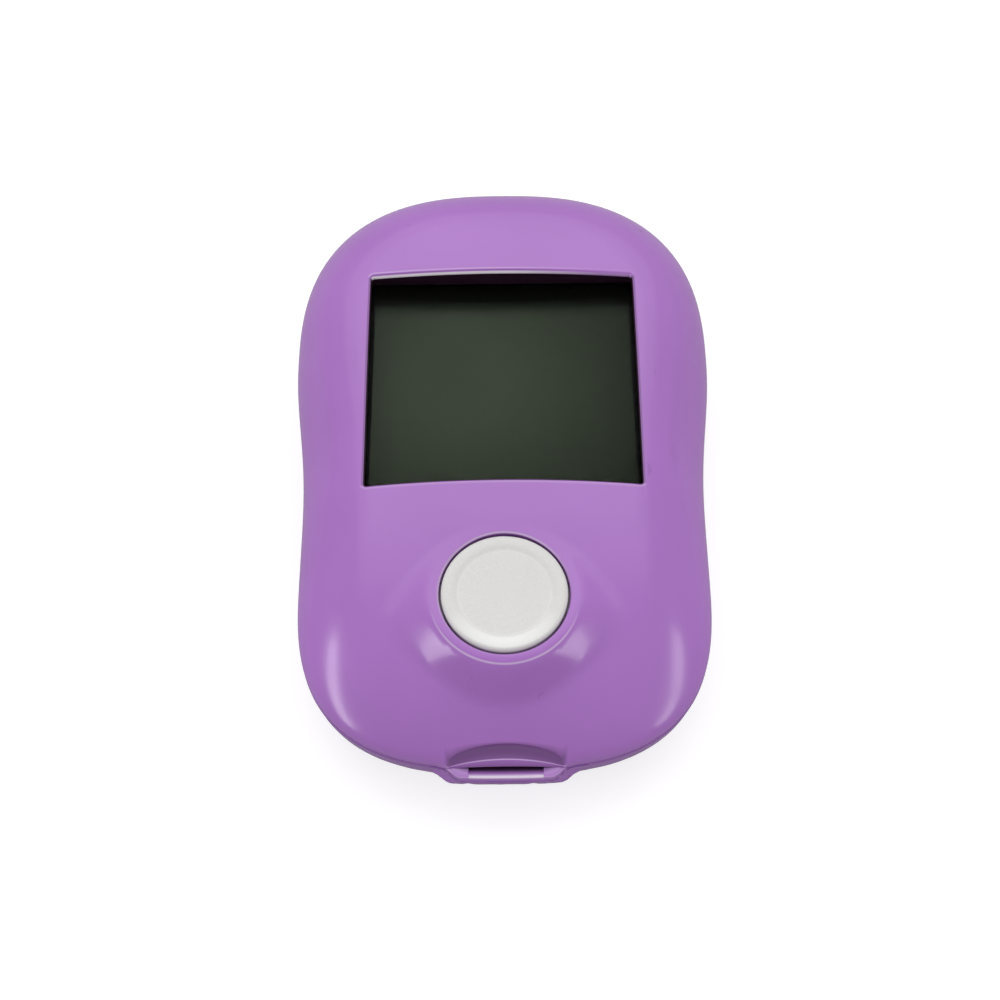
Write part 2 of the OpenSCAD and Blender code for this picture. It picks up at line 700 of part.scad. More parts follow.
module rear_cover() {
    color(lilac) difference() {
        union() {
            difference() {
                rear_form(0, seam_z);
                difference() {
                    rear_form(rear_wall, seam_z + 1);
                    at_four(case_top, case_low) post(0, 0, case_post_r, 0, case_post_top);
                }
            }
            // tongue that enters the front shell
            difference() {
                plan(front_wall - tongue_t, seam_z - 2.2, seam_z + tongue_h);
                plan(front_wall, 0, far);
                block(-port_w / 2 - 2, port_w / 2 + 2, -far, lower_y, 0, far);
            }
            // battery bay: shelf over the door's tongues, walls and roof
            block(-shelf_half, shelf_half, door_start + 0.2, bay_end + bay_wall,
                rear_wall - eps, shelf_z + shelf_t);
            block(-bay_half - bay_wall, bay_half + bay_wall, bay_start - bay_wall, bay_end + bay_wall,
                shelf_z, roof_z + roof_t);
        }
        // room for the cells, open to the door
        block(-bay_half, bay_half, bay_start, bay_end, rear_wall, roof_z);
        block(-opening_half, opening_half, bay_start, bay_end - 1.6, -1, shelf_z);
        // channels for the door's tongues
        block(-door_half, door_half, door_start + 1.2, bay_end - 1.6, rear_wall, shelf_z);
        // notches where the tongues drop in
        for (y = tongue_at) block(-tongue_half - 0.2, tongue_half + 0.2,
            y + door_travel - 0.2, y + door_travel + tongue_len + 0.2, -1, shelf_z);
        // recess that the door lies in
        difference() {
            door_zone(slide_gap);
            rear_form(ledge_z, seam_z + 1);
        }
        at_four(case_top, case_low) {
            post(0, 0, case_head_r + 0.2, -1, case_seat_z);
            post(0, 0, case_screw_d / 2 + 0.15, -1, far);
            post(0, 0, case_boss_r + gap, case_post_top, far);
        }
        block(-far, far, -far, far, -1, 0);
    }
}

// ---- display -------------------------------------------------------------------------------

module display_lens() {
    color([0.75, 0.8, 0.82, 0.4]) slab(lens_w, lens_l, 1, window_y, lens_low, lens_top);
}

module lens_seal() {
    color([0.1, 0.1, 0.1]) difference() {
        slab(lens_w, lens_l, 1, window_y, lens_top + gap / 4, lens_top + seal_t + gap / 4);
        slab(window_w + 0.3, window_l + 0.3, window_r, window_y, 0, far);
    }
}

module display_front_glass() {
    color([0.35, 0.4, 0.34]) slab(glass_w, glass_l, 0.4, window_y, front_glass_low, front_glass_top);
}

module display_rear_glass() {
    color([0.3, 0.36, 0.3]) slab(glass_w, glass_l, 0.4, window_y, rear_glass_low, rear_glass_top);
}

zebra_w = 1.8;
zebra_x = board_w / 2 - 1.8 - zebra_w / 2;
zebra_len = 28;

module display_reflector() {
    color([0.8, 0.82, 0.8])
        slab(2 * (zebra_x - zebra_w / 2 - 0.3), glass_l - 2, 0.4, window_y, film_low, film_top);
}

foot_r = 0.8;
foot_dy = glass_l / 2 + gap - 1.2;
module display_holder() {
    in_w = glass_w + 2 * gap;
    in_l = glass_l + 2 * gap;
    foot_x = board_w / 2 - foot_r - gap;
    color([0.92, 0.92, 0.9]) difference() {
        union() {
            slab(holder_w, holder_l, 0.8, window_y, holder_low, lens_low - gap);
            for (sx = [-1, 1]) for (sy = [-1, 1])
                post(sx * foot_x, window_y + sy * foot_dy, foot_r, board_top_z + gap / 2, holder_low + eps);
        }
        slab(in_w, in_l, 0.5, window_y, rear_glass_low - gap / 2, far);
        slab(2 * zebra_x + zebra_w + 0.3, in_l - 2 * holder_wall, 0.5, window_y, 0, far);
    }
}

module zebra_connectors() {
    color([0.85, 0.45, 0.5]) for (s = [-1, 1])
        block(s * zebra_x - zebra_w / 2, s * zebra_x + zebra_w / 2,
            window_y - zebra_len / 2, window_y + zebra_len / 2,
            board_top_z + gap / 2, rear_glass_low - gap / 2);
}

// ---- circuit board -------------------------------------------------------------------------

board_end = board_top.y + board_boss_r + 0.4;
board_start = port_back + 0.4;
board_corner = 4;
board_arm_x = bay_half + bay_wall + 0.5;
board_step_y = case_low.y + case_boss_r + 4;

module main_board() {
    color(board_green) difference() {
        translate([0, 0, board_z]) linear_extrude(board_t) difference() {
            union() {
                translate([0, (board_start + board_end) / 2])
                    round_rect(board_low_w, board_end - board_start, board_corner);
                translate([0, (board_step_y + board_end) / 2])
                    round_rect(board_w, board_end - board_step_y, 1);
            }
            translate([-board_arm_x, bay_start - bay_wall - 0.4]) square([2 * board_arm_x, far]);
        }
        at_four(board_top, board_low) post(0, 0, board_screw_d / 2 + 0.15, 0, far);
    }
}

module chip(x, y, w, l, h) {
    z = board_top_z + gap / 2;
    translate([x, y, 0]) {
        block(-w / 2, w / 2, -l / 2, l / 2, z + 0.1, z + h);
        for (s = [-1, 1]) for (k = [-2:2])
            block(s * (w / 2 + 0.25) - 0.45, s * (w / 2 + 0.25) + 0.45,
                k * l / 6 - 0.15, k * l / 6 + 0.15, z, z + 0.25);
    }
}

main_chip_w = 7;
main_chip_h = 1.2;
sensor_chip_w = 5;
sensor_chip_l = 4.4;
sensor_chip_h = 1.1;
chip_room = 0.4;
main_chip_x = -(switch_w + main_chip_w) / 2 - 3.7;
sensor_chip_x = (switch_w + sensor_chip_w) / 2 + 4.7;
chip_y = bay_start - bay_wall - 2.3 - main_chip_w / 2;

module main_chip() {
    color([0.12, 0.12, 0.13]) chip(main_chip_x, chip_y, main_chip_w, main_chip_w, main_chip_h);
}

module sensor_chip() {
    color([0.14, 0.14, 0.15]) chip(sensor_chip_x, chip_y, sensor_chip_w, sensor_chip_l, sensor_chip_h);
}

// Resistors and capacitors: four below each chip and a row along each arm of the board
part_w = 0.8;
part_l = 1.6;
part_h = 0.55;
part_pitch = 1.9;
part_row_x = connector_w / 2 + 2.5;
part_row_y = chip_y - main_chip_w / 2 - chip_room - part_l;
part_arm_x = (board_arm_x + zebra_x - zebra_w / 2) / 2;
part_arm_pitch = 12;
module small_part(x, y) {
    z = board_top_z + gap / 2;
    translate([x, y, 0]) block(-part_w / 2, part_w / 2, -part_l / 2, part_l / 2, z, z + part_h);
}

module small_parts() {
    color([0.65, 0.55, 0.4]) for (s = [-1, 1]) {
        for (k = [0:1]) for (m = [0:1])
            small_part(s * (part_row_x + part_pitch * k), part_row_y - m * (part_l + chip_room));
        for (k = [-1:1]) small_part(s * part_arm_x, window_y + part_arm_pitch * k);
    }
}

// The crystal lies along the arm of the board, before the holder's foot
crystal_r = 1.1;
crystal_half = 2.6;
crystal_x = -(board_arm_x + board_w / 2) / 2;
crystal_y = window_y - foot_dy - foot_r - chip_room - crystal_half - crystal_r;
module quartz_crystal() {
    z0 = board_top_z + gap / 2;
    z1 = z0 + 2 * crystal_r;
    color(steel) translate([crystal_x, crystal_y, 0]) {
        block(-crystal_r, crystal_r, -crystal_half, crystal_half, z0, z1);
        for (s = [-1, 1]) post(0, s * crystal_half, crystal_r, z0, z1);
    }
}

buzzer_r = 4.6;
buzzer_h = 3;
buzzer_hole_r = 0.8;
buzzer_x = switch_w / 2 + buzzer_r;
module buzzer() {
    color([0.1, 0.1, 0.1]) difference() {
        post(buzzer_x, button_y, buzzer_r, board_z - buzzer_h, board_z - gap / 2);
        post(buzzer_x, button_y, buzzer_hole_r, 0, board_z - buzzer_h + buzzer_hole_r);
    }
}

// ---- screws --------------------------------------------------------------------------------

module screw(d, head_r, head_h, seat, tip) {
    slot = 0.5;
    difference() {
        union() {
            post(0, 0, head_r, seat - head_h, seat);
            post(0, 0, d / 2, seat - eps, tip - 0.8);
            translate([0, 0, tip - 0.8]) cylinder(r1 = d / 2, r2 = d / 6, h = 0.8, $fn = 48);
        }
        for (a = [0, 90]) rotate(a)
            block(-head_r * 0.6, head_r * 0.6, -slot / 2, slot / 2,
                seat - head_h - 1, seat - head_h * 0.55);
    }
}

module case_screws() {
    color(steel) at_four(case_top, case_low)
        screw(case_screw_d, case_head_r, case_head_h, case_seat_z - gap / 2, case_screw_top);
}

module board_screws() {
    color(steel) at_four(board_top, board_low)
        screw(board_screw_d, board_head_r, board_head_h, board_z - gap / 2, board_screw_top);
}

front_cover();
rear_cover();
battery_door();
display_lens();
lens_seal();
display_holder();
display_front_glass();
display_rear_glass();
display_reflector();
zebra_connectors();
main_board();
main_chip();
sensor_chip();
small_parts();
quartz_crystal();
buzzer();
switch_body();
switch_stem();
main_button();
strip_port_bezel();
strip_connector();
strip_contacts();
battery_left();
battery_right();
battery_springs();
battery_plates();
case_screws();
board_screws();
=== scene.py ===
import json
import math
import bmesh
import bpy
import numpy as np
from mathutils import Matrix, Vector
from mathutils.geometry import delaunay_2d_cdt

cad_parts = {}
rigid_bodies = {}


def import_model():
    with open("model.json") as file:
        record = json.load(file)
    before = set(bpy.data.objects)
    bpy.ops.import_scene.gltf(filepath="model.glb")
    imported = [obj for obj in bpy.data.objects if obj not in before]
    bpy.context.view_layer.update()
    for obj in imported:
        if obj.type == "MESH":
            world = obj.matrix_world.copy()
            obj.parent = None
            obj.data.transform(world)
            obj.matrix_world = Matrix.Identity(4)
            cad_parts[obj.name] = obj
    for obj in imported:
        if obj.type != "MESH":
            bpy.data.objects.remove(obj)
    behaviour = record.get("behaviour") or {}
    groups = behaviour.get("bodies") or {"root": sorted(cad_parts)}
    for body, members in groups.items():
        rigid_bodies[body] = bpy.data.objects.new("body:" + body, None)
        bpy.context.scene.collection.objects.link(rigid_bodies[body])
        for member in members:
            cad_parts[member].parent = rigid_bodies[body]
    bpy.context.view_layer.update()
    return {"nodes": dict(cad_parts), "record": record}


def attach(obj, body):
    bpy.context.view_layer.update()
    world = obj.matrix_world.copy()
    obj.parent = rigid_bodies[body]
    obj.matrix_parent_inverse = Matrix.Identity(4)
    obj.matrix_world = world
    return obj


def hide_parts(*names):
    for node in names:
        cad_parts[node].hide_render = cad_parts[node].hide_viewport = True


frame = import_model()
print("frame loaded:", len(frame["nodes"]), "nodes")

# shape of the two shells, in millimetres as everywhere below; meshes are made in metres
housing = {
    "length": 85.0, "upperWidth": 55.4, "lowerWidth": 51.8, "pinch": 0.6, "thickness": 21.0,
    "seamZ": 8.5, "bellyRise": 1.1, "upperY": 16.0, "lowerY": -17.4, "upperPower": 2.7, "lowerPower": 2.8,
    "rollWidth": 10.0, "rearRoll": 8.0, "seamLand": 0.8, "rearDraft": 0.15, "frontWall": 1.8,
    "noseOut": 1.5, "noseWidth": 10.8, "noseFlank": 2.6, "noseLow": 4.4, "noseHigh": 3.0, "noseSpread": 1.3,
    "noseLowFull": 1.0, "noseHighFull": 1.4,  # the nose keeps its reach this far below and above the joint
    "crownY": 8.0, "crownRadius": 400.0, "crossTop": 140.0, "crossLow": 100.0,
    "bendY": -8.0, "bendLength": 30.0, "bendSlope": 0.26,
    "creaseSlope": 0.3, "creaseX": 21.1, "creaseSpread": 0.22, "creaseSoft": 0.35,
    "creaseLow": -9.0, "creaseLowFade": 9.0, "creaseHigh": 20.0, "creaseHighFade": 3.0,
}
window = {
    "width": 35.4, "length": 32.7, "y": 8.1, "radius": 0.8, "edge": 0.55, "edgeIn": 0.45, "farIn": 0.32,
    "seat": 17.5, "well": 2.25, "ledge": 0.8, "ledgeZ": 16.3,
    # colours that painted shade and painted highlights turn the lilac towards, on the front cover and the port's
    # jaw
    "paintedShadeColour": (0.028, 0.009, 0.024), "paintedHighlightColour": (1.0, 0.94, 1.0),
}
button = {
    "y": -23.0, "diameter": 15.2, "gap": 0.25, "mound": 20.1, "ring": 1.05, "angle": 52.0, "sideAngle": 26.0,
    "sideFrom": 0.05, "sideSpan": 0.85, "edge": 0.35, "shoulder": 0.15, "soft": 0.45, "blend": 0.6,
    "proud": 0.3, "rim": 1.9, "dish": 0.4,
}
# the lip over the strip's slot and the cove above it, with one painted shade or painted highlight for each row
# upwards; the cove is painted darker
port = {
    "width": 14.8, "edgeZ": 9.4, "lipZ": 9.9, "lipY": -41.0, "lipTopY": -40.35, "lipTopZ": 10.5,
    "lipEndZ": 9.55, "lipEndY": -41.05, "lipSteps": (0, 0.25, 0.88), "lipIn": 0.03, "endFade": 0.1,
    "coveInset": 1.78, "coveEnd": 0.15, "covePower": 0.75, "coveSag": 0.5,
    "coveSteps": (0.06, 0.25, 0.5, 0.75, 0.94),
    "inward": (0, 0.83, -0.56),
    "shades": (0.4, 0.33, 0.12, -0.5, 0.45, 0.52, 0.52, 0.52, 0.5, 0.42, 0.0),
}

beltZ = housing["seamZ"] + housing["bellyRise"]
headY = housing["length"] / 2
tailY = -housing["length"] / 2 + housing["noseOut"]
windowTop = window["y"] + window["length"] / 2
windowLow = window["y"] - window["length"] / 2
crownZ = housing["thickness"] + (windowTop - housing["crownY"]) ** 2 / (2 * housing["crownRadius"])


def ease(u):
    t = np.clip(u, 0, 1)
    return t * t * (3 - 2 * t)


def halfWidth(y):
    h = housing
    u = (h["upperY"] - y) / (h["upperY"] - h["lowerY"])
    return h["upperWidth"] / 2 + (h["lowerWidth"] - h["upperWidth"]) / 2 * ease(u) \
        - h["pinch"] * np.sin(np.pi * np.clip(u, 0, 1)) ** 2


# the lobes are superellipses; each returns its centre, half width, half length and power
def lobe(top, inset):
    h = housing
    if top:
        return h["upperY"], h["upperWidth"] / 2 - inset, headY - h["upperY"] - inset, h["upperPower"]
    return h["lowerY"], h["lowerWidth"] / 2 - inset, h["lowerY"] - tailY - inset, h["lowerPower"]


def onLobe(top, inset, angle):
    y0, a, b, n = lobe(top, inset)
    c, s = np.cos(angle), np.sin(angle)
    r = ((abs(c) / a) ** n + (abs(s) / b) ** n) ** (-1 / n)
    return r * c, y0 + (1 if top else -1) * r * s


# y of the outline at x on a lobe
def lobeEnd(top, inset, x):
    y0, a, b, n = lobe(top, inset)
    return y0 + (1 if top else -1) * b * (1 - (abs(x) / a) ** n) ** (1 / n)


# angle at which a lobe reaches x
def lobeAngle(top, inset, x):
    y0 = lobe(top, inset)[0]
    return math.atan2(abs(lobeEnd(top, inset, x) - y0), x)


columns = {"arc": 30, "side": 26, "head": 34, "headHalf": 10, "tail": 60}


# closed ring of plan points, counter-clockwise from the widest place on the right of the upper lobe;
# the columns at the two ends stand at fixed x, so that straight edges can follow them
def ring(inset):
    h, arc, side = housing, columns["arc"], columns["side"]
    points = []
    for top, sign, count, half in ((True, 1, columns["head"], columns["headHalf"]),
                                   (False, -1, columns["tail"], port["width"] / 2)):
        reach = lobeAngle(top, inset, half)
        for k in range(arc):
            x, y = onLobe(top, inset, reach * k / arc)
            points.append((sign * x, y))
        for k in range(count):
            x = sign * half * (1 - 2 * k / count)
            points.append((x, lobeEnd(top, inset, x)))
        for k in range(arc):
            x, y = onLobe(top, inset, reach * (1 - k / arc))
            points.append((-sign * x, y))
        y0, y1 = (h["upperY"], h["lowerY"]) if top else (h["lowerY"], h["upperY"])
        for k in range(side):
            y = y0 + (y1 - y0) * k / side
            points.append((-sign * (float(halfWidth(y)) - inset), y))
    return np.array(points)


# how far plan points lie inside the outline
def insetOf(x, y):
    x, y = np.abs(np.asarray(x, float)), np.asarray(y, float)
    h = housing
    result = halfWidth(y) - x
    for top in (True, False):
        y0, a, b, n = lobe(top, 0)
        mask = y > y0 if top else y < y0
        if not mask.any():
            continue
        xs, ys = x[mask], np.abs(y[mask] - y0)
        low = np.full(xs.shape, -3.0)  # no point asked for lies further outside
        high = np.minimum(a - xs, b - ys) - 1e-9
        high = np.maximum(high, low + 1e-9)
        for _ in range(44):  # halved until nothing is left of the span
            middle = (low + high) / 2
            inside = (xs / (a - middle)) ** n + (ys / (b - middle)) ** n < 1
            low = np.where(inside, middle, low)
            high = np.where(inside, high, middle)
        result[mask] = (low + high) / 2
    return result


def noseHalf(z):
    return housing["noseWidth"] / 2 + housing["noseSpread"] * ease((housing["seamZ"] - z) / 2)


def nosePush(x, z):
    h = housing
    return h["noseOut"] * ease((noseHalf(z) + h["noseFlank"] - np.abs(x)) / h["noseFlank"]) \
        * ease((z - h["seamZ"] + h["noseLow"]) / (h["noseLow"] - h["noseLowFull"])) \
        * ease((h["seamZ"] + h["noseHigh"] - z) / (h["noseHigh"] - h["noseHighFull"]))


def crossBend(y):
    h = housing
    return 1 / h["crossLow"] + (1 / h["crossTop"] - 1 / h["crossLow"]) * (y - windowLow) / window["length"]


def softPlus(d, soft):
    return 0.5 * (d + np.sqrt(d * d + soft * soft))


# height of the face before its edge rolls off
def faceHeight(x, y):
    h, b = housing, button
    fall = np.maximum(h["bendY"] - y, 0)
    fall = np.where(fall < h["bendLength"], fall ** 2 / (2 * h["bendLength"]), fall - h["bendLength"] / 2)
    crease = softPlus(np.abs(x) - h["creaseX"] - h["creaseSpread"] * y, h["creaseSoft"])
    crease = h["creaseSlope"] * crease * ease((y - h["creaseLow"]) / h["creaseLowFade"]) \
        * ease((h["creaseHigh"] - y) / h["creaseHighFade"])
    z = crownZ - (y - h["crownY"]) ** 2 / (2 * h["crownRadius"]) - x * x * crossBend(y) / 2 \
        - h["bendSlope"] * fall - crease
    r = np.hypot(x, y - b["y"])
    flat = b["diameter"] / 2 + b["gap"] + b["ring"]
    below = ease(((b["y"] - y) / np.maximum(r, 0.1) - b["sideFrom"]) / b["sideSpan"])
    slope = np.tan(np.radians(b["sideAngle"] + (b["angle"] - b["sideAngle"]) * below))
    mound = b["mound"] - slope * softPlus(r - flat - b["shoulder"], b["soft"])
    k = b["blend"]
    d = np.clip(0.5 + 0.5 * (mound - z) / k, 0, 1)
    return z * (1 - d) + mound * d + k * d * (1 - d)


# front skin: the point over plan (x, y), with the nose pushed out
def frontSkin(x, y):
    x, y = np.asarray(x, float), np.asarray(y, float)
    share = np.clip(insetOf(x, y) / housing["rollWidth"], 0, 1)
    z = beltZ + np.sqrt(np.maximum(1 - (1 - share) ** 2, 0)) * (faceHeight(x, y) - beltZ)
    push = np.where(y < housing["lowerY"], nosePush(x, z), 0)
    return np.stack([x, y - push, z], -1)


def unit(v):
    return v / np.maximum(np.linalg.norm(v, axis=-1, keepdims=True), 1e-12)


def frontNormal(x, y, step=0.02):
    ax, bx = frontSkin(x - step, y), frontSkin(x + step, y)
    ay, by = frontSkin(x, y - step), frontSkin(x, y + step)
    return unit(np.cross(bx - ax, by - ay))


def addObject(name, data):
    made = bpy.data.objects.new(name, data)
    bpy.context.scene.collection.objects.link(made)
    return made


# smooth shading with sharp creases, and the normals that are known exactly, by corner
def smooth(mesh, sharp, known):
    mesh.polygons.foreach_set("use_smooth", [True] * len(mesh.polygons))
    mesh.set_sharp_from_angle(angle=math.radians(sharp))
    corner = np.zeros(len(mesh.loops) * 3, np.float32)
    mesh.corner_normals.foreach_get("vector", corner)
    corner = corner.reshape(-1, 3)
    for k, normal in known.items():
        corner[k] = normal
    mesh.normals_split_custom_set(corner.tolist())


# gathers vertices, faces and exact normals, then makes a mesh in metres
class Sheet:
    def __init__(self):
        self.points, self.faces, self.normals, self.shades = [], [], [], []

    # shade is painted light: 1 paints shade as dark as a deep recess, -1 paints a pale highlight; the chip form
    # marks its tin with it
    def add(self, points, shade=0.0):
        start = len(self.points)
        self.points.extend([tuple(float(v) for v in p) for p in points])
        self.shades.extend([float(v) for v in np.broadcast_to(shade, len(points))])
        return list(range(start, len(self.points)))

    def face(self, ids, normals=None):
        kept = [k for k in range(len(ids)) if ids[k] != ids[k - 1]]
        if len(kept) < 3:
            return
        self.faces.append([ids[k] for k in kept])
        self.normals.append([normals[k] if normals is not None else None for k in kept])

    # band of quads between two equal rings of vertices
    def band(self, low, high):
        for k in range(len(low)):
            j = (k + 1) % len(low)
            self.face([low[k], low[j], high[j], high[k]])

    def build(self, name, sharp=32):
        mesh = bpy.data.meshes.new(name)
        mesh.from_pydata([Vector(p) * 0.001 for p in self.points], [], self.faces)
        mesh.update()
        known = [n for f in self.normals for n in f]
        smooth(mesh, sharp, {k: n for k, n in enumerate(known) if n is not None})
        mesh.attributes.new("shade", "FLOAT", "POINT").data.foreach_set("value", self.shades)
        return addObject(name, mesh)


# loop of a rounded rectangle over plan, and which way each of its points faces
def roundedLoop(width, length, radius, y, offset=0.0, perSide=44, perCorner=8):
    w, l, r = width / 2 + offset, length / 2 + offset, radius + offset
    points, outward = [], []
    corners = [(w - r, l - r, 0), (-(w - r), l - r, 90), (-(w - r), -(l - r), 180), (w - r, -(l - r), 270)]
    for index, (cx, cy, start) in enumerate(corners):
        for k in range(perCorner):
            a = math.radians(start + 90 * k / perCorner)
            points.append((cx + r * math.cos(a), y + cy + r * math.sin(a)))
            outward.append((math.cos(a), math.sin(a)))
        a = math.radians(start + 90)
        p0 = np.array((cx + r * math.cos(a), y + cy + r * math.sin(a)))
        nx, ny, _ = corners[(index + 1) % 4]
        p1 = np.array((nx + r * math.cos(a), y + ny + r * math.sin(a)))
        for k in range(perSide):
            points.append(tuple(p0 + (p1 - p0) * k / perSide))
            outward.append((math.cos(a), math.sin(a)))
    return np.array(points), np.array(outward)


def circleLoop(radius, y, count=128):
    a = np.linspace(0, 2 * np.pi, count, endpoint=False)
    return np.stack([radius * np.cos(a), y + radius * np.sin(a)], -1), np.stack([np.cos(a), np.sin(a)], -1)


# distance of plan points from a rounded rectangle about (0, middle), negative inside it
def boxGap(x, y, width, length, radius, middle):
    bx, by = np.abs(x) - width / 2 + radius, np.abs(y - middle) - length / 2 + radius
    return np.where((bx > 0) & (by > 0), np.hypot(bx, by), np.maximum(bx, by)) - radius


# triangles between constraint loops; keep() says which middles belong to the piece
def fill(points, edges, keep):
    made = delaunay_2d_cdt([Vector(p) for p in points], edges, [], 0, 1e-6)
    back = [ids[0] if ids else -1 for ids in made[3]]
    triangles = [ids for ids in ([back[i] for i in f] for f in made[2]) if -1 not in ids]
    middles = np.array([np.mean([points[i] for i in ids], axis=0) for ids in triangles])
    result = []
    for ids, yes in zip(triangles, keep(middles[:, 0], middles[:, 1])):
        a, b, c = (np.array(points[i]) for i in ids)
        area = (b[0] - a[0]) * (c[1] - a[1]) - (b[1] - a[1]) * (c[0] - a[0])
        if yes and abs(area) > 1e-9:
            result.append(ids if area > 0 else ids[::-1])
    return result


def loopEdges(start, count):
    return [(start + k, start + (k + 1) % count) for k in range(count)]


def noseRow(plan, z):
    push = np.where(plan[:, 1] < housing["lowerY"], nosePush(plan[:, 0], z), 0)
    return np.stack([plan[:, 0], plan[:, 1] - push, z], -1)


# edge rows of the front cover, and its painted shade and painted highlights; those of a rounded lip go by its angle
# in degrees
front = {
    "lowRows": ((0.3, 8.5), (0.19, 8.53), (0.13, 8.62), (0.08, 8.95), (0.02, port["edgeZ"])),
    "angles": tuple(range(0, 57, 4)), "exactFrom": 16, "joinAngle": 40,
    "lipAngles": (0, 12, 24, 36, 48, 60, 72, 84, 90), "holeAngles": (0, 22.5, 45, 67.5, 90),
    "farShade": {0: -0.22, 12: 0.0, 24: 0.35, 36: 0.3, 48: -0.6}, "farReach": (15, 14, 0.15),
    "nearShade": {0: -0.1, 12: -0.16, 24: 0.1, 36: 0.7}, "sideShade": {0: 0.0, 12: 0.1, 24: 0.6, 36: 0.2},
    "holeShade": {0: 0, 22.5: -0.15, 45: -0.5, 67.5: -0.15, 90: 0.5},
    "collarOut": 0.15, "collarBand": 0.16, "collarHighlight": -0.42, "collarFrom": 0.22, "collarSpan": 0.45,
    "windowGuides": (1.2, 0.22), "holeGuide": 0.75,  # loops that keep the triangles even round the openings
    "gridX": (-26, 26.01), "gridY": (-40, 41.01), "step": 0.7, "rowShare": 0.87,
    "edgeFree": 0.45, "windowFree": 0.5, "wellFree": 0.35, "collarFree": 0.4,
}
edgeRow = len(front["lowRows"]) - 1
joinRow = edgeRow + 1 + front["angles"].index(front["joinAngle"])
tailStart = columns["arc"] * 3 + columns["head"] + columns["side"]
tailColumns = range(tailStart, tailStart + columns["tail"] + 1)


# inset at an angle of the edge's roll
def rollInset(angle, wall=0.0):
    return wall + (housing["rollWidth"] - wall) * (1 - math.cos(math.radians(angle)))


# point at x on the roll of the lower end, so far inside the outline
def onRoll(x, inset):
    y = lobeEnd(False, inset, x)
    rise = math.sqrt(1 - (1 - inset / housing["rollWidth"]) ** 2)
    z = beltZ + rise * (float(faceHeight(x, y)) - beltZ)
    return noseRow(np.array([[x, y]]), np.array([z]))[0]


# rows from the joint upwards, a few below the belly and then the roll: outside, inside, plan of the outside
def edgeRows():
    wall = housing["frontWall"]
    outer, inner, plans = [], [], []
    for inset, z in front["lowRows"]:
        plans.append(ring(inset))
        z = np.full(len(plans[-1]), z)
        outer.append(noseRow(plans[-1], z))
        inner.append(noseRow(ring(wall), z))
    for a in front["angles"]:
        rise = math.sin(math.radians(a))
        plans.append(ring(rollInset(a)))
        for rows, plan, depth in ((outer, plans[-1], 0), (inner, ring(rollInset(a, wall)), wall)):
            rows.append(noseRow(plan, beltZ + rise * (faceHeight(plan[:, 0], plan[:, 1]) - depth - beltZ)))
    return np.array(outer), np.array(inner), plans


# lays the rows over the port on its lip and cove; returns their shades by row and column
def shapePort(outer, inner):
    p, half = port, port["width"] / 2
    inward = np.array(p["inward"])
    shadeOf = {}
    for c in tailColumns:
        x = outer[edgeRow, c, 0]
        t = min(abs(x) / half, 1)
        fade = float(ease((1 - t) / p["endFade"]))
        bow = 1 - t * t
        lipLow = np.array([x, p["lipEndY"] + (p["lipY"] - p["lipEndY"]) * bow,
                           p["edgeZ"] + (p["lipZ"] - p["edgeZ"]) * bow])
        lipTop = np.array([x, p["lipEndY"] + (p["lipTopY"] - p["lipEndY"]) * bow,
                           p["lipEndZ"] + (p["lipTopZ"] - p["lipEndZ"]) * bow])
        coveBow = max(1 - (x / (half - p["coveEnd"])) ** 2, 0) ** p["covePower"]
        coveInset = p["coveInset"] * coveBow + p["coveEnd"]
        coveTop = onRoll(x, coveInset)
        path = [lipLow * (1 - q) + lipTop * q for q in p["lipSteps"]] + [lipTop + inward * p["lipIn"]]
        for q in p["coveSteps"]:
            path.append(lipTop + (coveTop - lipTop) * q + inward * p["coveSag"] * 4 * q * (1 - q) * bow)
        path += [coveTop, onRoll(x, (coveInset + rollInset(front["joinAngle"])) / 2)]
        for k, place in enumerate(path):
            outer[edgeRow + k, c] = outer[edgeRow + k, c] * (1 - fade) + place * fade
            shadeOf[edgeRow + k, c] = p["shades"][k] * fade
        foot = np.array([x, inner[edgeRow, c, 1], outer[edgeRow, c, 2]])
        for row in range(edgeRow, joinRow):
            q = (row - edgeRow) / (joinRow - edgeRow)
            inner[row, c] = foot * (1 - q) + inner[joinRow, c] * q
    return shadeOf


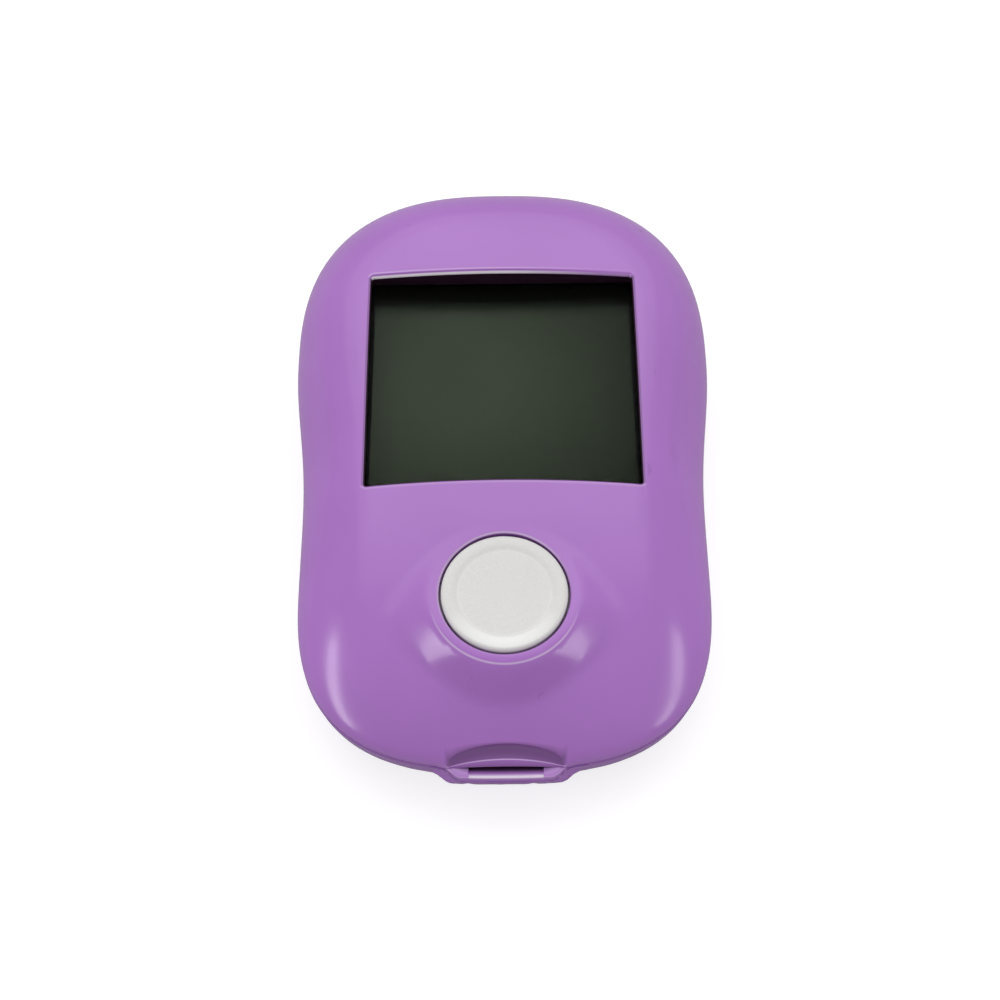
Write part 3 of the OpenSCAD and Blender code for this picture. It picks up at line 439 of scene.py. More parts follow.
def makeFrontCover():
    h, w, s, wall = housing, window, front, housing["frontWall"]
    outer, inner, plans = edgeRows()
    shadeOf = shapePort(outer, inner)
    count, last = outer.shape[1], len(outer) - 1
    sheet = Sheet()
    outerIds = [sheet.add(row, [shadeOf.get((k, c), 0) for c in range(count)]) for k, row in enumerate(outer)]
    innerIds = [sheet.add(row) for row in inner]
    exact = {}
    for row in range(edgeRow + 1 + s["angles"].index(s["exactFrom"]), last + 1):
        found = frontNormal(plans[row][:, 0], plans[row][:, 1])
        for c in range(count):
            if row > joinRow or c not in tailColumns:
                exact[outerIds[row][c]] = found[c]
    for row in range(last):
        for c in range(count):
            d = (c + 1) % count
            if row < edgeRow and c in tailColumns[:-1]:
                continue
            ids = [outerIds[row][c], outerIds[row][d], outerIds[row + 1][d], outerIds[row + 1][c]]
            sheet.face(ids, [exact.get(i) for i in ids])
            sheet.face([innerIds[row + 1][c], innerIds[row + 1][d], innerIds[row][d], innerIds[row][c]])
    # rim on the joint, the two sides of the port's opening and the underside of its lip
    for c in range(count):
        d = (c + 1) % count
        row = edgeRow if c in tailColumns[:-1] else 0
        sheet.face([innerIds[row][c], innerIds[row][d], outerIds[row][d], outerIds[row][c]])
    for c, order in ((tailColumns[0], 1), (tailColumns[-1], -1)):
        for row in range(edgeRow):
            ids = [outerIds[row][c], outerIds[row + 1][c], innerIds[row + 1][c], innerIds[row][c]]
            sheet.face(ids[::order])

    # the face inside the last row: window, button hole and what lies between
    points = [tuple(p) for p in plans[last]]
    places = list(outer[last])
    normals = list(frontNormal(plans[last][:, 0], plans[last][:, 1]))
    known = list(outerIds[last])
    edges = loopEdges(0, count)
    shades = [0.0] * count

    def addLoop(plan, drop=0.0, tilt=0.0, inwards=None, shade=0.0):
        start = len(points)
        shades.extend(np.broadcast_to(shade, len(plan)))
        place = frontSkin(plan[:, 0], plan[:, 1])
        place[:, 2] -= drop
        normal = frontNormal(plan[:, 0], plan[:, 1])
        if inwards is not None:
            side = np.concatenate([inwards, np.zeros((len(plan), 1))], 1)
            normal = unit(normal * math.cos(tilt) + side * math.sin(tilt))
        points.extend(map(tuple, plan))
        places.extend(place)
        normals.extend(normal)
        edges.extend(loopEdges(start, len(plan)))
        known.extend([None] * len(plan))
        return list(range(start, start + len(plan)))

    openY, openLength = w["y"] - w["farIn"] / 2, w["length"] - w["farIn"]

    def around(offset):
        return roundedLoop(w["width"], w["length"], w["radius"], w["y"], offset)[0]

    def opening(offset):
        return roundedLoop(w["width"], openLength, w["radius"], openY, w["edge"] - w["edgeIn"] + offset)

    wellLoop = addLoop(around(w["well"]))
    addLoop(around(s["windowGuides"][0]))
    addLoop(opening(s["windowGuides"][1])[0])
    # painted light on the window's rounded lip: a painted highlight along the far edge that fades towards the
    # right, painted shade down the near edge and the sides
    for a in s["lipAngles"]:
        tilt = math.radians(a)
        plan, outward = opening(-w["edge"] * math.sin(tilt))
        start, span, least = s["farReach"]
        reach = np.clip((start - plan[:, 0]) / span, least, 1)
        shade = np.where(outward[:, 1] < -0.5, s["nearShade"].get(a, 1.0), s["sideShade"].get(a, 1.0))
        shade = np.where(outward[:, 1] > 0.5, s["farShade"].get(a, -1.0) * reach, shade)
        windowLoop = addLoop(plan, w["edge"] * (1 - math.cos(tilt)), tilt, -outward, shade)
    hole = button["diameter"] / 2 + button["gap"]
    addLoop(circleLoop(hole + s["holeGuide"], button["y"])[0])
    # painted highlight along the collar's edge on its lower side
    collar = hole + button["ring"] + s["collarOut"]
    for offset, shade in ((-s["collarBand"], 0), (0, s["collarHighlight"]), (s["collarBand"], 0)):
        plan, outward = circleLoop(collar + offset, button["y"])
        addLoop(plan, shade=shade * np.clip((-s["collarFrom"] - outward[:, 1]) / s["collarSpan"], 0, 1))
    # painted highlight on the hole's rounded edge, paler on the upper left, and painted shade on its wall below all
    # round
    for a in s["holeAngles"]:
        tilt = math.radians(a)
        plan, outward = circleLoop(hole + button["edge"] * (1 - math.sin(tilt)), button["y"])
        shade = s["holeShade"][a]
        if a < 90:  # paler on the upper left, while the wall below is dark all round
            shade = shade * np.clip(0.6 + outward[:, 1] - 0.4 * outward[:, 0], 0.1, 1)
        holeLoop = addLoop(plan, button["edge"] * (1 - math.cos(tilt)), tilt, -outward, shade)

    # spread points between the loops
    xs, ys = np.meshgrid(np.arange(*s["gridX"], s["step"]), np.arange(*s["gridY"], s["step"] * s["rowShare"]))
    xs = xs + (np.arange(len(xs)) % 2)[:, None] * s["step"] / 2
    xs, ys = xs.ravel(), ys.ravel()
    lastInset = rollInset(s["angles"][-1])
    gap = boxGap(xs, ys, w["width"], w["length"], 0, w["y"])
    free = (insetOf(xs, ys) > lastInset + s["edgeFree"]) & (gap > s["windowGuides"][0] + s["windowFree"]) \
        & (np.abs(gap - w["well"]) > s["wellFree"]) \
        & (np.hypot(xs, ys - button["y"]) > collar + s["collarFree"])
    xs, ys = xs[free], ys[free]
    points.extend(zip(xs, ys))
    shades.extend([0.0] * len(xs))
    places.extend(frontSkin(xs, ys))
    normals.extend(frontNormal(xs, ys))
    known.extend([None] * len(xs))

    def keep(x, y):
        return (boxGap(x, y, w["width"], openLength, w["radius"], openY) > -w["edgeIn"]) \
            & (np.hypot(x, y - button["y"]) > hole - 1e-4) & (insetOf(x, y) > lastInset - 0.02)

    triangles = fill(points, edges, keep)
    ids = [sheet.add([place], shade)[0] if index is None else index
           for index, place, shade in zip(known, places, shades)]
    for t in triangles:
        sheet.face([ids[i] for i in t], [normals[i] for i in t])

    # inner skin: the same triangles, outside the display's well
    flat = np.array(points)
    inset = insetOf(flat[:, 0], flat[:, 1])
    share = np.clip(inset / h["rollWidth"], 0, 1)
    innerInset = np.where(inset < h["rollWidth"], wall + (h["rollWidth"] - wall) * share, inset)
    slope = [insetOf(flat[:, 0] + dx, flat[:, 1] + dy) - insetOf(flat[:, 0] - dx, flat[:, 1] - dy)
             for dx, dy in ((0.01, 0), (0, 0.01))]
    under = flat + (innerInset - inset)[:, None] * unit(np.stack(slope, -1))
    rise = np.sqrt(np.maximum(1 - (1 - share) ** 2, 0))
    underZ = beltZ + rise * (faceHeight(under[:, 0], under[:, 1]) - wall - beltZ)
    upright = set(wellLoop + holeLoop)
    innerMap = {}

    def innerId(i):
        if i < count:
            return innerIds[last][i]
        if i not in innerMap:
            x, y = flat[i] if i in upright else under[i]
            innerMap[i] = sheet.add([(x, y, underZ[i])])[0]
        return innerMap[i]

    middles = np.array([flat[t].mean(0) for t in triangles])
    solid = boxGap(middles[:, 0], middles[:, 1], w["width"], w["length"], w["radius"], w["y"]) >= w["well"]
    for t, yes in zip(triangles, solid):
        if yes:
            sheet.face([innerId(i) for i in t[::-1]])

    # walls of the well: down from the edge, out under the seal, down and back up to the skin, all painted with full
    # shade
    lip = sheet.add(np.array([places[i] for i in windowLoop]) - (0, 0, 0.04), 1)
    rings = [[ids[i] for i in windowLoop], lip]
    for offset, z in ((-w["edgeIn"] * 0.5, w["seat"]), (w["ledge"], w["seat"]), (w["ledge"], w["ledgeZ"]),
                      (w["well"], w["ledgeZ"])):
        rings.append(sheet.add([(x, y, z) for x, y in around(offset)], 1))
    rings.append([innerId(i) for i in wellLoop])
    for upper, lower in zip(rings, rings[1:]):
        sheet.band(lower, upper)
    sheet.band([innerId(i) for i in holeLoop], [ids[i] for i in holeLoop])
    made = sheet.build("frontCover")
    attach(made, "housing")
    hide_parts("front_cover")
    return made


frontCover = makeFrontCover()
print("front cover made:", len(frontCover.data.polygons), "faces")


# closed form turned about an upright axis through (0, y); a profile runs from the axis back to the axis
def turned(name, profile, y, count=144, sharp=32):
    sheet = Sheet()
    rows = []
    for r, z in profile:
        if r < 1e-6:
            rows.append(sheet.add([(0, y, z)]) * count)
        else:
            a = np.linspace(0, 2 * np.pi, count, endpoint=False)
            rows.append(sheet.add(np.stack([r * np.cos(a), y + r * np.sin(a), np.full(count, z)], -1)))
    for low, high in zip(rows, rows[1:]):
        for k in range(count):
            j = (k + 1) % count
            sheet.face([low[k], high[k], high[j], low[j]])
    return sheet.build(name, sharp)


# plate with rounded corners and broken edges, between two heights; size and hole are width, length, radius
def plate(name, size, y, z0, z1, edge, hole=None):
    sheet = Sheet()

    def level(offset, z, size=size):
        return sheet.add([(x, v, z) for x, v in roundedLoop(*size, y, offset, 12, 8)[0]])

    rows = [level(-edge, z0), level(0, z0 + edge), level(0, z1 - edge), level(-edge, z1)]
    for low, high in zip(rows, rows[1:]):
        sheet.band(low, high)
    if hole is None:
        sheet.face(rows[0][::-1])
        sheet.face(rows[-1])
    else:
        low, high = level(0, z0, hole), level(0, z1, hole)
        sheet.band(rows[-1], high)
        sheet.band(high, low)
        sheet.band(low, rows[0])
    return sheet.build(name)


# cap under its face: skirt, flange that holds it in the shell, stem that meets the switch; then its face
cap = {
    "skirt": 0.9, "flange": 8.75, "brim": 1.9, "foot": 2.8, "broken": 0.05, "floor": 1.1,
    "stemTip": 1.7, "stemRoot": 2.1, "stemOut": 0.5, "round": 0.55, "rimFrom": 0.65, "rimWidth": 0.45,
    "rimBow": 0.02, "dishBow": 0.12, "dishSlope": 0.5,
    # painted highlights: on the rim towards the user and at the dish's edge
    "rimHighlight": -0.85, "rimHighlightFrom": 0.35, "rimIn": 0.25, "rimSoftIn": 0.4, "rimOut": 0.15, "rimSoftOut": 0.3,
    "dishEdgeHighlight": -0.25, "lipAt": 0.3, "lipWidth": 0.22,
}


def makeButton():
    b, c = button, cap
    radius, top = b["diameter"] / 2, b["mound"] + b["proud"]
    dish = radius - b["rim"] + 0.15
    brim, foot, floor = b["mound"] - c["brim"], b["mound"] - c["foot"], top - b["dish"] - c["floor"]
    inner, flange, small = radius - c["skirt"], c["flange"], c["broken"]
    profile = [(0, foot - c["stemOut"]), (c["stemTip"], foot - c["stemOut"]), (c["stemRoot"], floor),
               (inner, floor), (inner, foot + small), (inner + small, foot), (flange - small, foot),
               (flange, foot + small), (flange, brim - small), (flange - small, brim), (radius, brim)]
    crest = top - c["rimBow"]
    for t in np.radians(np.linspace(0, 80, 9)):
        profile.append((radius + c["round"] * (math.cos(t) - 1), crest + c["round"] * (math.sin(t) - 1)))
    for t in np.linspace(0, 1, 7)[1:]:
        r = radius - c["rimFrom"] - c["rimWidth"] * t
        profile.append((r, crest + c["rimBow"] * math.sin(math.pi * t)))
    start, end = profile[-1][0], dish - c["dishSlope"]
    drop = crest - top + b["dish"] - c["dishBow"]
    for t in np.linspace(0, 1, 13)[1:]:
        profile.append((start + (end - start) * t, crest - drop * float(ease(t))))
    for t in np.linspace(0, 1, 9)[1:]:
        profile.append((end * (1 - t), top - b["dish"] + c["dishBow"] * (1 - t) ** 2))
    made = turned("buttonCap", profile, b["y"])
    # painted highlight on the rim towards the user, and a painted highlight along the edge of the dish all round
    for v, item in zip(made.data.vertices, made.data.attributes["shade"].data):
        x, y, z = v.co.x * 1000, v.co.y * 1000 - b["y"], v.co.z * 1000
        r = math.hypot(x, y)
        if z > b["mound"] - 1 and r > dish - 0.9:
            rim = float(ease((r - dish + c["rimIn"]) / c["rimSoftIn"]))
            rim = rim * float(ease((radius - c["rimOut"] - r) / c["rimSoftOut"]))
            near = float(np.clip((-c["rimHighlightFrom"] - y / r) / (1 - c["rimHighlightFrom"]), 0, 1))
            lip = max(1 - abs(r - dish + c["lipAt"]) / c["lipWidth"], 0)
            item.value = c["rimHighlight"] * rim * near + c["dishEdgeHighlight"] * lip
    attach(made, "button")
    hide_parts("main_button")
    return made


buttonCap = makeButton()
print("button cap made")

# layers of the display: how much wider than the window, corner radius, lower and upper face, broken edge
display = {
    "lens": (1.4, 1.0, 16.3, 17.3, 0.08), "seal": (1.4, 1.0, 17.33, 17.47, 0.02),
    "frontGlass": (1.0, 0.4, 15.1, 16.1, 0.06), "rearGlass": (1.0, 0.4, 14.0, 15.0, 0.06),
    "sealHole": (0.3, 0.8),
}


def makeDisplay():
    w = window
    pieces = []
    for name, node in (("lens", "display_lens"), ("seal", "lens_seal"), ("frontGlass", "display_front_glass"),
                       ("rearGlass", "display_rear_glass")):
        wider, radius, low, high, edge = display[name]
        hole = None
        if name == "seal":
            holeWider, holeRadius = display["sealHole"]
            hole = (w["width"] + holeWider, w["length"] + holeWider, holeRadius)
        made = plate(name, (w["width"] + wider, w["length"] + wider, radius), w["y"], low, high, edge, hole)
        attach(made, "housing")
        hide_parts(node)
        pieces.append(made)
    return pieces


lens, seal, frontGlass, rearGlass = makeDisplay()
print("lens, seal and display glass made")


# lower jaw of the strip port: a section at each x, from its back round its front edge and back over its top;
# painted highlight and painted shade follow the section, and differ inside the slot and beside it
jaw = {
    "half": 7.33, "slotHalf": 4.5, "bottom": 8.56, "inset": 0.1, "back": -37.0, "rise": 9.2, "round": 0.3,
    "floor": 8.92, "scoop": 1.6, "sideTop": 9.6, "sideRound": 0.22, "guide": (9.15, -40.6, 0.157, -0.44),
    "guideHalf": 2.1, "underLip": 0.07, "columns": 75, "slotWall": 0.05, "broken": 0.05, "frontZ": (8.9, 9.1),
    "floorStops": (-40.75, -40.6, -38.5, -38.4),
    "frontPaintedShade": [0.1, 0.1, 0, 0, 0.05], "edgePaintedHighlight": [0.05, 0.0, -0.2, -0.6, -0.8, -0.7],
    "sideEdgePaintedHighlight": [0, 0, -0.1, -0.2, -0.15, 0],
    "floorPaintedHighlightAndShade": ((0, 0.12, 0.3, 0.65, 1), (-0.6, -0.35, -0.05, 0.55, 0.95)),
    "sidePaintedHighlightAndShade": ((0, 0.9, 1), (0, -0.12, 0.6)),
}


def makePortJaw():
    j = jaw
    near = j["slotHalf"] - j["slotWall"]
    columnsAt = [-j["slotHalf"], -near, near, j["slotHalf"]]
    columnsAt += [x for x in np.linspace(-j["half"], j["half"], j["columns"]) if abs(abs(x) - j["slotHalf"]) > 0.12]
    columnsAt.sort()

    def wallY(x, z):
        return lobeEnd(False, j["inset"], x) - float(nosePush(x, z))

    def lipUnder(x):
        bow = 1 - min(abs(x) / (port["width"] / 2), 1) ** 2
        return port["edgeZ"] + (port["lipZ"] - port["edgeZ"]) * bow - j["underLip"]

    def sideTop(x, y):
        z0, y0, alongX, alongY = j["guide"]
        slope = z0 + alongX * (abs(x) - j["slotHalf"]) + alongY * (min(y, y0) - y0)
        top = min(j["sideTop"], slope) if abs(x) < j["slotHalf"] + j["guideHalf"] else j["sideTop"]
        return min(top, lipUnder(x)) if y > port["lipY"] - 0.04 else top

    sheet = Sheet()
    rows = []
    for x in columnsAt:
        inSlot = abs(x) < j["slotHalf"] - 0.02
        rounding = j["round"] if inSlot else j["sideRound"]
        rise = j["rise"] if inSlot else j["sideTop"] - j["sideRound"]
        path = [(j["back"], j["bottom"]), (wallY(x, j["bottom"]) + j["broken"], j["bottom"])]
        path += [(wallY(x, z), z) for z in (j["bottom"] + j["broken"], *j["frontZ"])]
        y0 = wallY(x, rise)
        for t in np.radians((0, 18, 36, 54, 72, 90)):
            path.append((y0 + rounding * (1 - math.cos(t)), rise + rounding * math.sin(t)))
        y1, crest = path[-1]
        # painted highlight on the front edge, painted shade under the lip and full painted shade further back
        tone = j["frontPaintedShade"] + (j["edgePaintedHighlight"] if inSlot else j["sideEdgePaintedHighlight"])
        for q in np.linspace(0, 1, 10)[1:]:
            y = y1 + (port["lipY"] + 0.1 - y1) * q
            path.append((y, crest - (crest - j["floor"]) * q ** j["scoop"] if inSlot else sideTop(x, y)))
            tone.append(float(np.interp(q, *(j["floorPaintedHighlightAndShade"] if inSlot else j["sidePaintedHighlightAndShade"]))))
        for y in (*j["floorStops"], j["back"]):
            path.append((y, j["floor"] if inSlot else sideTop(x, y)))
            tone.append(1)
        rows.append(sheet.add([(x, y, z) for y, z in path], tone))
    for left, right in zip(rows, rows[1:]):
        for k in range(len(left)):
            n = (k + 1) % len(left)
            sheet.face([left[k], right[k], right[n], left[n]])
    sheet.face(rows[0])
    sheet.face(rows[-1][::-1])
    made = sheet.build("portJaw", 40)
    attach(made, "housing")
    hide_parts("strip_port_bezel")
    return made


portJaw = makePortJaw()
print("port jaw made")


# how far points lie inside the rounded outside of the rear shell
def rearGap(place):
    h = housing
    x, y, z = place[:, 0], place[:, 1], place[:, 2]
    low = h["seamZ"] - h["seamLand"]
    turn = np.arcsin(np.clip(1 - z / low, 0, 1))
    inset = np.where(z < low, h["rearDraft"] + h["rearRoll"] * (1 - np.cos(turn)),
                     h["rearDraft"] * (h["seamZ"] - z) / h["seamLand"])
    return insetOf(x, y + np.where(y < h["lowerY"], nosePush(x, z), 0)) - inset


def slopeOf(gap, place, step=0.01):
    result = np.zeros(place.shape)
    for axis in range(3):
        shift = np.zeros(3)
        shift[axis] = step
        result[:, axis] = (gap(place + shift) - gap(place - shift)) / (2 * step)
    return result


# how a copy is divided: edges over the longest length are halved in so many rounds; bulge is how far their
# middle may lie off the true surface, move how far a new point may go, both wider past noseStart, where it bends
refine = {
    "longest": 0.9, "rounds": 4, "onSurface": 0.02, "nearSurface": 0.07, "level": 0.995,
    "bulge": 0.35, "move": 0.4, "noseStart": -38.0, "noseBulge": 0.8, "noseMove": 0.9,
}


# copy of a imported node: points merged, its outside divided finer, laid on the true surface, with true normals
def fineCopy(node, name, gap, body, sharp=32):
    s = refine
    mesh = frame["nodes"][node].data.copy()
    mesh.name = name
    mesh.materials.clear()
    work = bmesh.new()
    work.from_mesh(mesh)
    bmesh.ops.remove_doubles(work, verts=work.verts[:], dist=0.000001)
    for _ in range(s["rounds"]):
        work.verts.ensure_lookup_table()
        work.edges.ensure_lookup_table()
        work.normal_update()
        place = np.array([v.co for v in work.verts]) * 1000
        on = np.abs(gap(place)) < s["onSurface"]
        ends = np.array([(e.verts[0].index, e.verts[1].index) for e in work.edges])
        first, second = place[ends[:, 0]], place[ends[:, 1]]
        middle = (first + second) / 2
        long = np.linalg.norm(first - second, axis=1) > s["longest"]
        level = np.array([all(abs(f.normal.z) > s["level"] for f in e.link_faces) for e in work.edges])
        bulge = np.where(middle[:, 1] < s["noseStart"], s["noseBulge"], s["bulge"])
        chosen = np.where(on[ends[:, 0]] & on[ends[:, 1]] & long & ~level & (np.abs(gap(middle)) < bulge))[0]
        if not len(chosen):
            break
        split = bmesh.ops.subdivide_edges(work, edges=[work.edges[i] for i in chosen], cuts=1)
        added = [v for v in split["geom_inner"] if isinstance(v, bmesh.types.BMVert)]
        moved = np.array([v.co for v in added]) * 1000
        off = gap(moved)
        slope = slopeOf(gap, moved)
        slope[:, 2] = 0
        moved -= off[:, None] * slope / np.maximum((slope ** 2).sum(1), 0.25)[:, None]
        for v, p, far in zip(added, moved, np.abs(off)):
            if far < (s["noseMove"] if v.co.y * 1000 < s["noseStart"] else s["move"]):
                v.co = Vector(p) * 0.001
        work.verts.index_update()
        work.edges.index_update()
    bmesh.ops.triangulate(work, faces=[f for f in work.faces if len(f.verts) > 4])
    work.to_mesh(mesh)
    work.free()
    place = np.array([v.co for v in mesh.vertices]) * 1000
    on = (np.abs(gap(place)) < s["nearSurface"]) & (place[:, 2] > 0.02)
    true = np.zeros(place.shape)
    true[on] = -unit(slopeOf(gap, place[on]))
    known = {}
    for f in mesh.polygons:
        flat = np.array(f.normal)
        for k in f.loop_indices:
            v = mesh.loops[k].vertex_index
            if on[v] and true[v] @ flat > 0.9:
                known[k] = true[v]
    smooth(mesh, sharp, known)
    made = addObject(name, mesh)
    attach(made, body)
    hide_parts(node)
    return made


rearCover = fineCopy("rear_cover", "rearCover", rearGap, "housing")
batteryDoor = fineCopy("battery_door", "batteryDoor", rearGap, "door")
print("rear shell and door made:", len(rearCover.data.polygons), len(batteryDoor.data.polygons))


# adds a node to a tree: inputs that are sockets are linked, other values are set
def addNode(tree, kind, inputs=(), **settings):
    made = tree.nodes.new(kind)
    for key, value in settings.items():
        setattr(made, key, value)
    for key, value in dict(inputs).items():
        for item in value if isinstance(value, list) else [value]:
            if isinstance(item, bpy.types.NodeSocket):
                tree.links.new(item, made.inputs[key])
            else:
                made.inputs[key].default_value = item
    return made


# a small geometry node tree: named inputs in, plain mesh out
class Tree:
    def __init__(self, name, inputs):
        self.group = bpy.data.node_groups.new(name, "GeometryNodeTree")
        self.ids = {}
        sockets = self.group.interface
        for label, kind in inputs:
            self.ids[label] = sockets.new_socket(label, in_out="INPUT", socket_type=kind).identifier
        sockets.new_socket("Geometry", in_out="OUTPUT", socket_type="NodeSocketGeometry")
        self.entry = self.group.nodes.new("NodeGroupInput").outputs
        self.exit = self.group.nodes.new("NodeGroupOutput").inputs

    def node(self, kind, inputs=(), **settings):
        return addNode(self.group, kind, inputs, **settings).outputs

    # closes the tree: instances made real, one finish on all
    def close(self, geometry):
        real = self.node("GeometryNodeRealizeInstances", {"Geometry": geometry})[0]
        done = self.node("GeometryNodeSetMaterial", {"Geometry": real, "Material": self.entry["Finish"]})[0]
        self.group.links.new(done, self.exit[0])

    def run(self, name, values, base=None):
        carrier = addObject(name + "Carrier", base or bpy.data.meshes.new(name + "Base"))
        modifier = carrier.modifiers.new("build", "NODES")
        modifier.node_group = self.group
        for label, value in values.items():
            modifier[self.ids[label]] = value
        graph = bpy.context.evaluated_depsgraph_get()
        mesh = bpy.data.meshes.new_from_object(carrier.evaluated_get(graph))
        bpy.data.objects.remove(carrier)
        return addObject(name, mesh)


def makeScatter():
    tree = Tree("scatter", [("Places", "NodeSocketGeometry"), ("Form", "NodeSocketObject"),
                            ("Finish", "NodeSocketMaterial")])
    form = tree.node("GeometryNodeObjectInfo", {"Object": tree.entry["Form"]})["Geometry"]
    turn, size = (tree.node("GeometryNodeInputNamedAttribute", {"Name": label}, data_type="FLOAT_VECTOR")[0]
                  for label in ("turn", "size"))
    tree.close(tree.node("GeometryNodeInstanceOnPoints", {"Points": tree.entry["Places"], "Instance": form,
                                                          "Rotation": turn, "Scale": size})[0])
    return tree


scatter = makeScatter()


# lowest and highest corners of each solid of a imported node, in millimetres
def solidBoxes(node):
    work = bmesh.new()
    work.from_mesh(frame["nodes"][node].data)
    bmesh.ops.remove_doubles(work, verts=work.verts[:], dist=0.000001)
    seen, boxes = set(), []
    for start in work.verts:
        if start in seen:
            continue
        seen.add(start)
        stack, found = [start], []
        while stack:
            v = stack.pop()
            found.append(tuple(v.co * 1000))
            for e in v.link_edges:
                other = e.other_vert(v)
                if other not in seen:
                    seen.add(other)
                    stack.append(other)
        found = np.array(found)
        boxes.append((found.min(0), found.max(0)))
    work.free()
    return boxes


# puts one form at each place; a place is (x, y, z) in millimetres with a turn and a size
def scattered(name, form, places, finish, node):
    base = bpy.data.meshes.new(name + "Places")
    base.from_pydata([Vector(place[0]) * 0.001 for place in places], [], [])
    for label, index in (("turn", 1), ("size", 2)):
        values = [v for place in places for v in place[index]]
        base.attributes.new(label, "FLOAT_VECTOR", "POINT").data.foreach_set("vector", values)
    made = scatter.run(name, {"Form": form, "Finish": finish}, base)
    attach(made, "housing")
    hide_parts(node)
    return made


# self-tapping screw, head down: cross recess, rounded head and a turning thread that fades to a point
screw = {
    "recessHalf": 0.13, "recessReach": 0.55, "recessDepth": 0.63, "headRound": 0.3, "pitch": 0.62,
    "rowsPerTurn": 8, "depth": 0.20, "caseShank": 1.05, "caseHead": 1.4, "boardShank": 0.85, "boardHead": 0.9,
}


def makeScrewForm(name, headRadius, headHeight, shankRadius, length):
    s, count = screw, 64
    turnOf = np.linspace(0, 2 * np.pi, count, endpoint=False)
    arm = np.abs(((turnOf + np.pi / 4) % (np.pi / 2)) - np.pi / 4)
    cross = np.minimum(s["recessReach"] * headRadius / np.maximum(np.cos(arm), 0.5),
                       s["recessHalf"] * headRadius / np.maximum(np.sin(arm), 0.01))
    top, soft = -headHeight, s["headRound"]
    rows = [(cross * 0.55, top + s["recessDepth"] * headHeight), (cross * 0.9, top + 0.25), (cross, top + 0.03),
            (cross * 1.08 + 0.02, top)]
    for t in np.radians((0, 30, 60, 90)):
        rows.append((headRadius + soft * (math.sin(t) - 1), top + soft * (1 - math.cos(t))))
    rows += [(headRadius, -0.08), (headRadius - 0.08, 0), (shankRadius + 0.1, 0), (shankRadius, 0.12)]
    steps = int((length - 0.5) / (s["pitch"] / s["rowsPerTurn"]))
    for k in range(steps):
        z = 0.3 + (length - 0.5) * k / (steps - 1)
        wave = np.abs(((z / s["pitch"] + turnOf / (2 * np.pi)) % 1) - 0.5) * 2
        taper = min(1, (length - z) / 1.2) * 0.6 + 0.4
        thread = 1 - s["depth"] + s["depth"] * np.clip(wave * 1.6 - 0.45, 0, 1)
        rows.append((shankRadius * taper * thread, z))
    rows.append((0.05, length))
    sheet = Sheet()
    rings = []
    for r, z in rows:
        r = np.broadcast_to(r, turnOf.shape)
        rings.append(sheet.add(np.stack([r * np.cos(turnOf), r * np.sin(turnOf), np.full(count, z)], -1)))
    sheet.face(rings[0][::-1])
    for low, high in zip(rings, rings[1:]):
        sheet.band(low, high)
    sheet.face(rings[-1])
    return sheet.build(name, 40)


# chip resistor or capacitor in a unit box, with its tinned ends marked
def makeChipForm():
    sheet = Sheet()
    rings = []
    loop = [(0.5, -0.42), (0.5, 0.42), (0.42, 0.5), (-0.42, 0.5), (-0.5, 0.42), (-0.5, -0.42), (-0.42, -0.5),
            (0.42, -0.5)]
    for y, swell, metal in ((-0.5, 0.90, 1), (-0.46, 1, 1), (-0.24, 1, 1), (-0.23, 0.93, 0), (0.23, 0.93, 0),
                            (0.24, 1, 1), (0.46, 1, 1), (0.5, 0.90, 1)):
        rings.append(sheet.add([(x * swell, y, z * swell) for x, z in loop], metal))
    sheet.face(rings[0])
    for low, high in zip(rings, rings[1:]):
        sheet.band(high, low)
    sheet.face(rings[-1][::-1])
    return sheet.build("chipForm", 30)


# conical battery spring of round wire
spring = {
    "baseRadius": 3.4, "tipRadius": 2.2, "wire": 0.28, "turns": 4.0, "height": 3.75, "x": 5.5, "z": 7.5,
    "leftY": -13.27, "rightY": 34.87, "around": 40, "wireSides": 14,
}


def makeSprings(finish):
    s = spring
    numbers = [(label, "NodeSocketFloat") for label in ("Base Radius", "Tip Radius", "Height", "Turns", "Wire")]
    tree = Tree("coil", numbers + [("Left Place", "NodeSocketVector"), ("Right Place", "NodeSocketVector"),
                                   ("Finish", "NodeSocketMaterial")])
    e = tree.entry
    line = tree.node("GeometryNodeCurveSpiral", {
        "Resolution": s["around"], "Rotations": e["Turns"], "Start Radius": e["Base Radius"],
        "End Radius": e["Tip Radius"], "Height": e["Height"]})[0]
    wire = tree.node("GeometryNodeCurvePrimitiveCircle", {"Resolution": s["wireSides"], "Radius": e["Wire"]})[0]
    coil = tree.node("GeometryNodeCurveToMesh", {"Curve": line, "Profile Curve": wire, "Fill Caps": True})[0]
    sides = []
    for place, turn in ((e["Left Place"], -math.pi / 2), (e["Right Place"], math.pi / 2)):
        sides.append(tree.node("GeometryNodeTransform", {"Geometry": coil, "Translation": place,
                                                         "Rotation": (turn, 0, 0)})[0])
    tree.close(tree.node("GeometryNodeJoinGeometry", {"Geometry": sides})[0])
    made = tree.run("batterySprings", {
        "Base Radius": s["baseRadius"] * 0.001, "Tip Radius": s["tipRadius"] * 0.001,
        "Height": s["height"] * 0.001, "Turns": s["turns"], "Wire": s["wire"] * 0.001, "Finish": finish,
        "Left Place": (-s["x"] * 0.001, s["leftY"] * 0.001, s["z"] * 0.001),
        "Right Place": (s["x"] * 0.001, s["rightY"] * 0.001, s["z"] * 0.001)})
    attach(made, "housing")
    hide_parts("battery_springs")
    return made


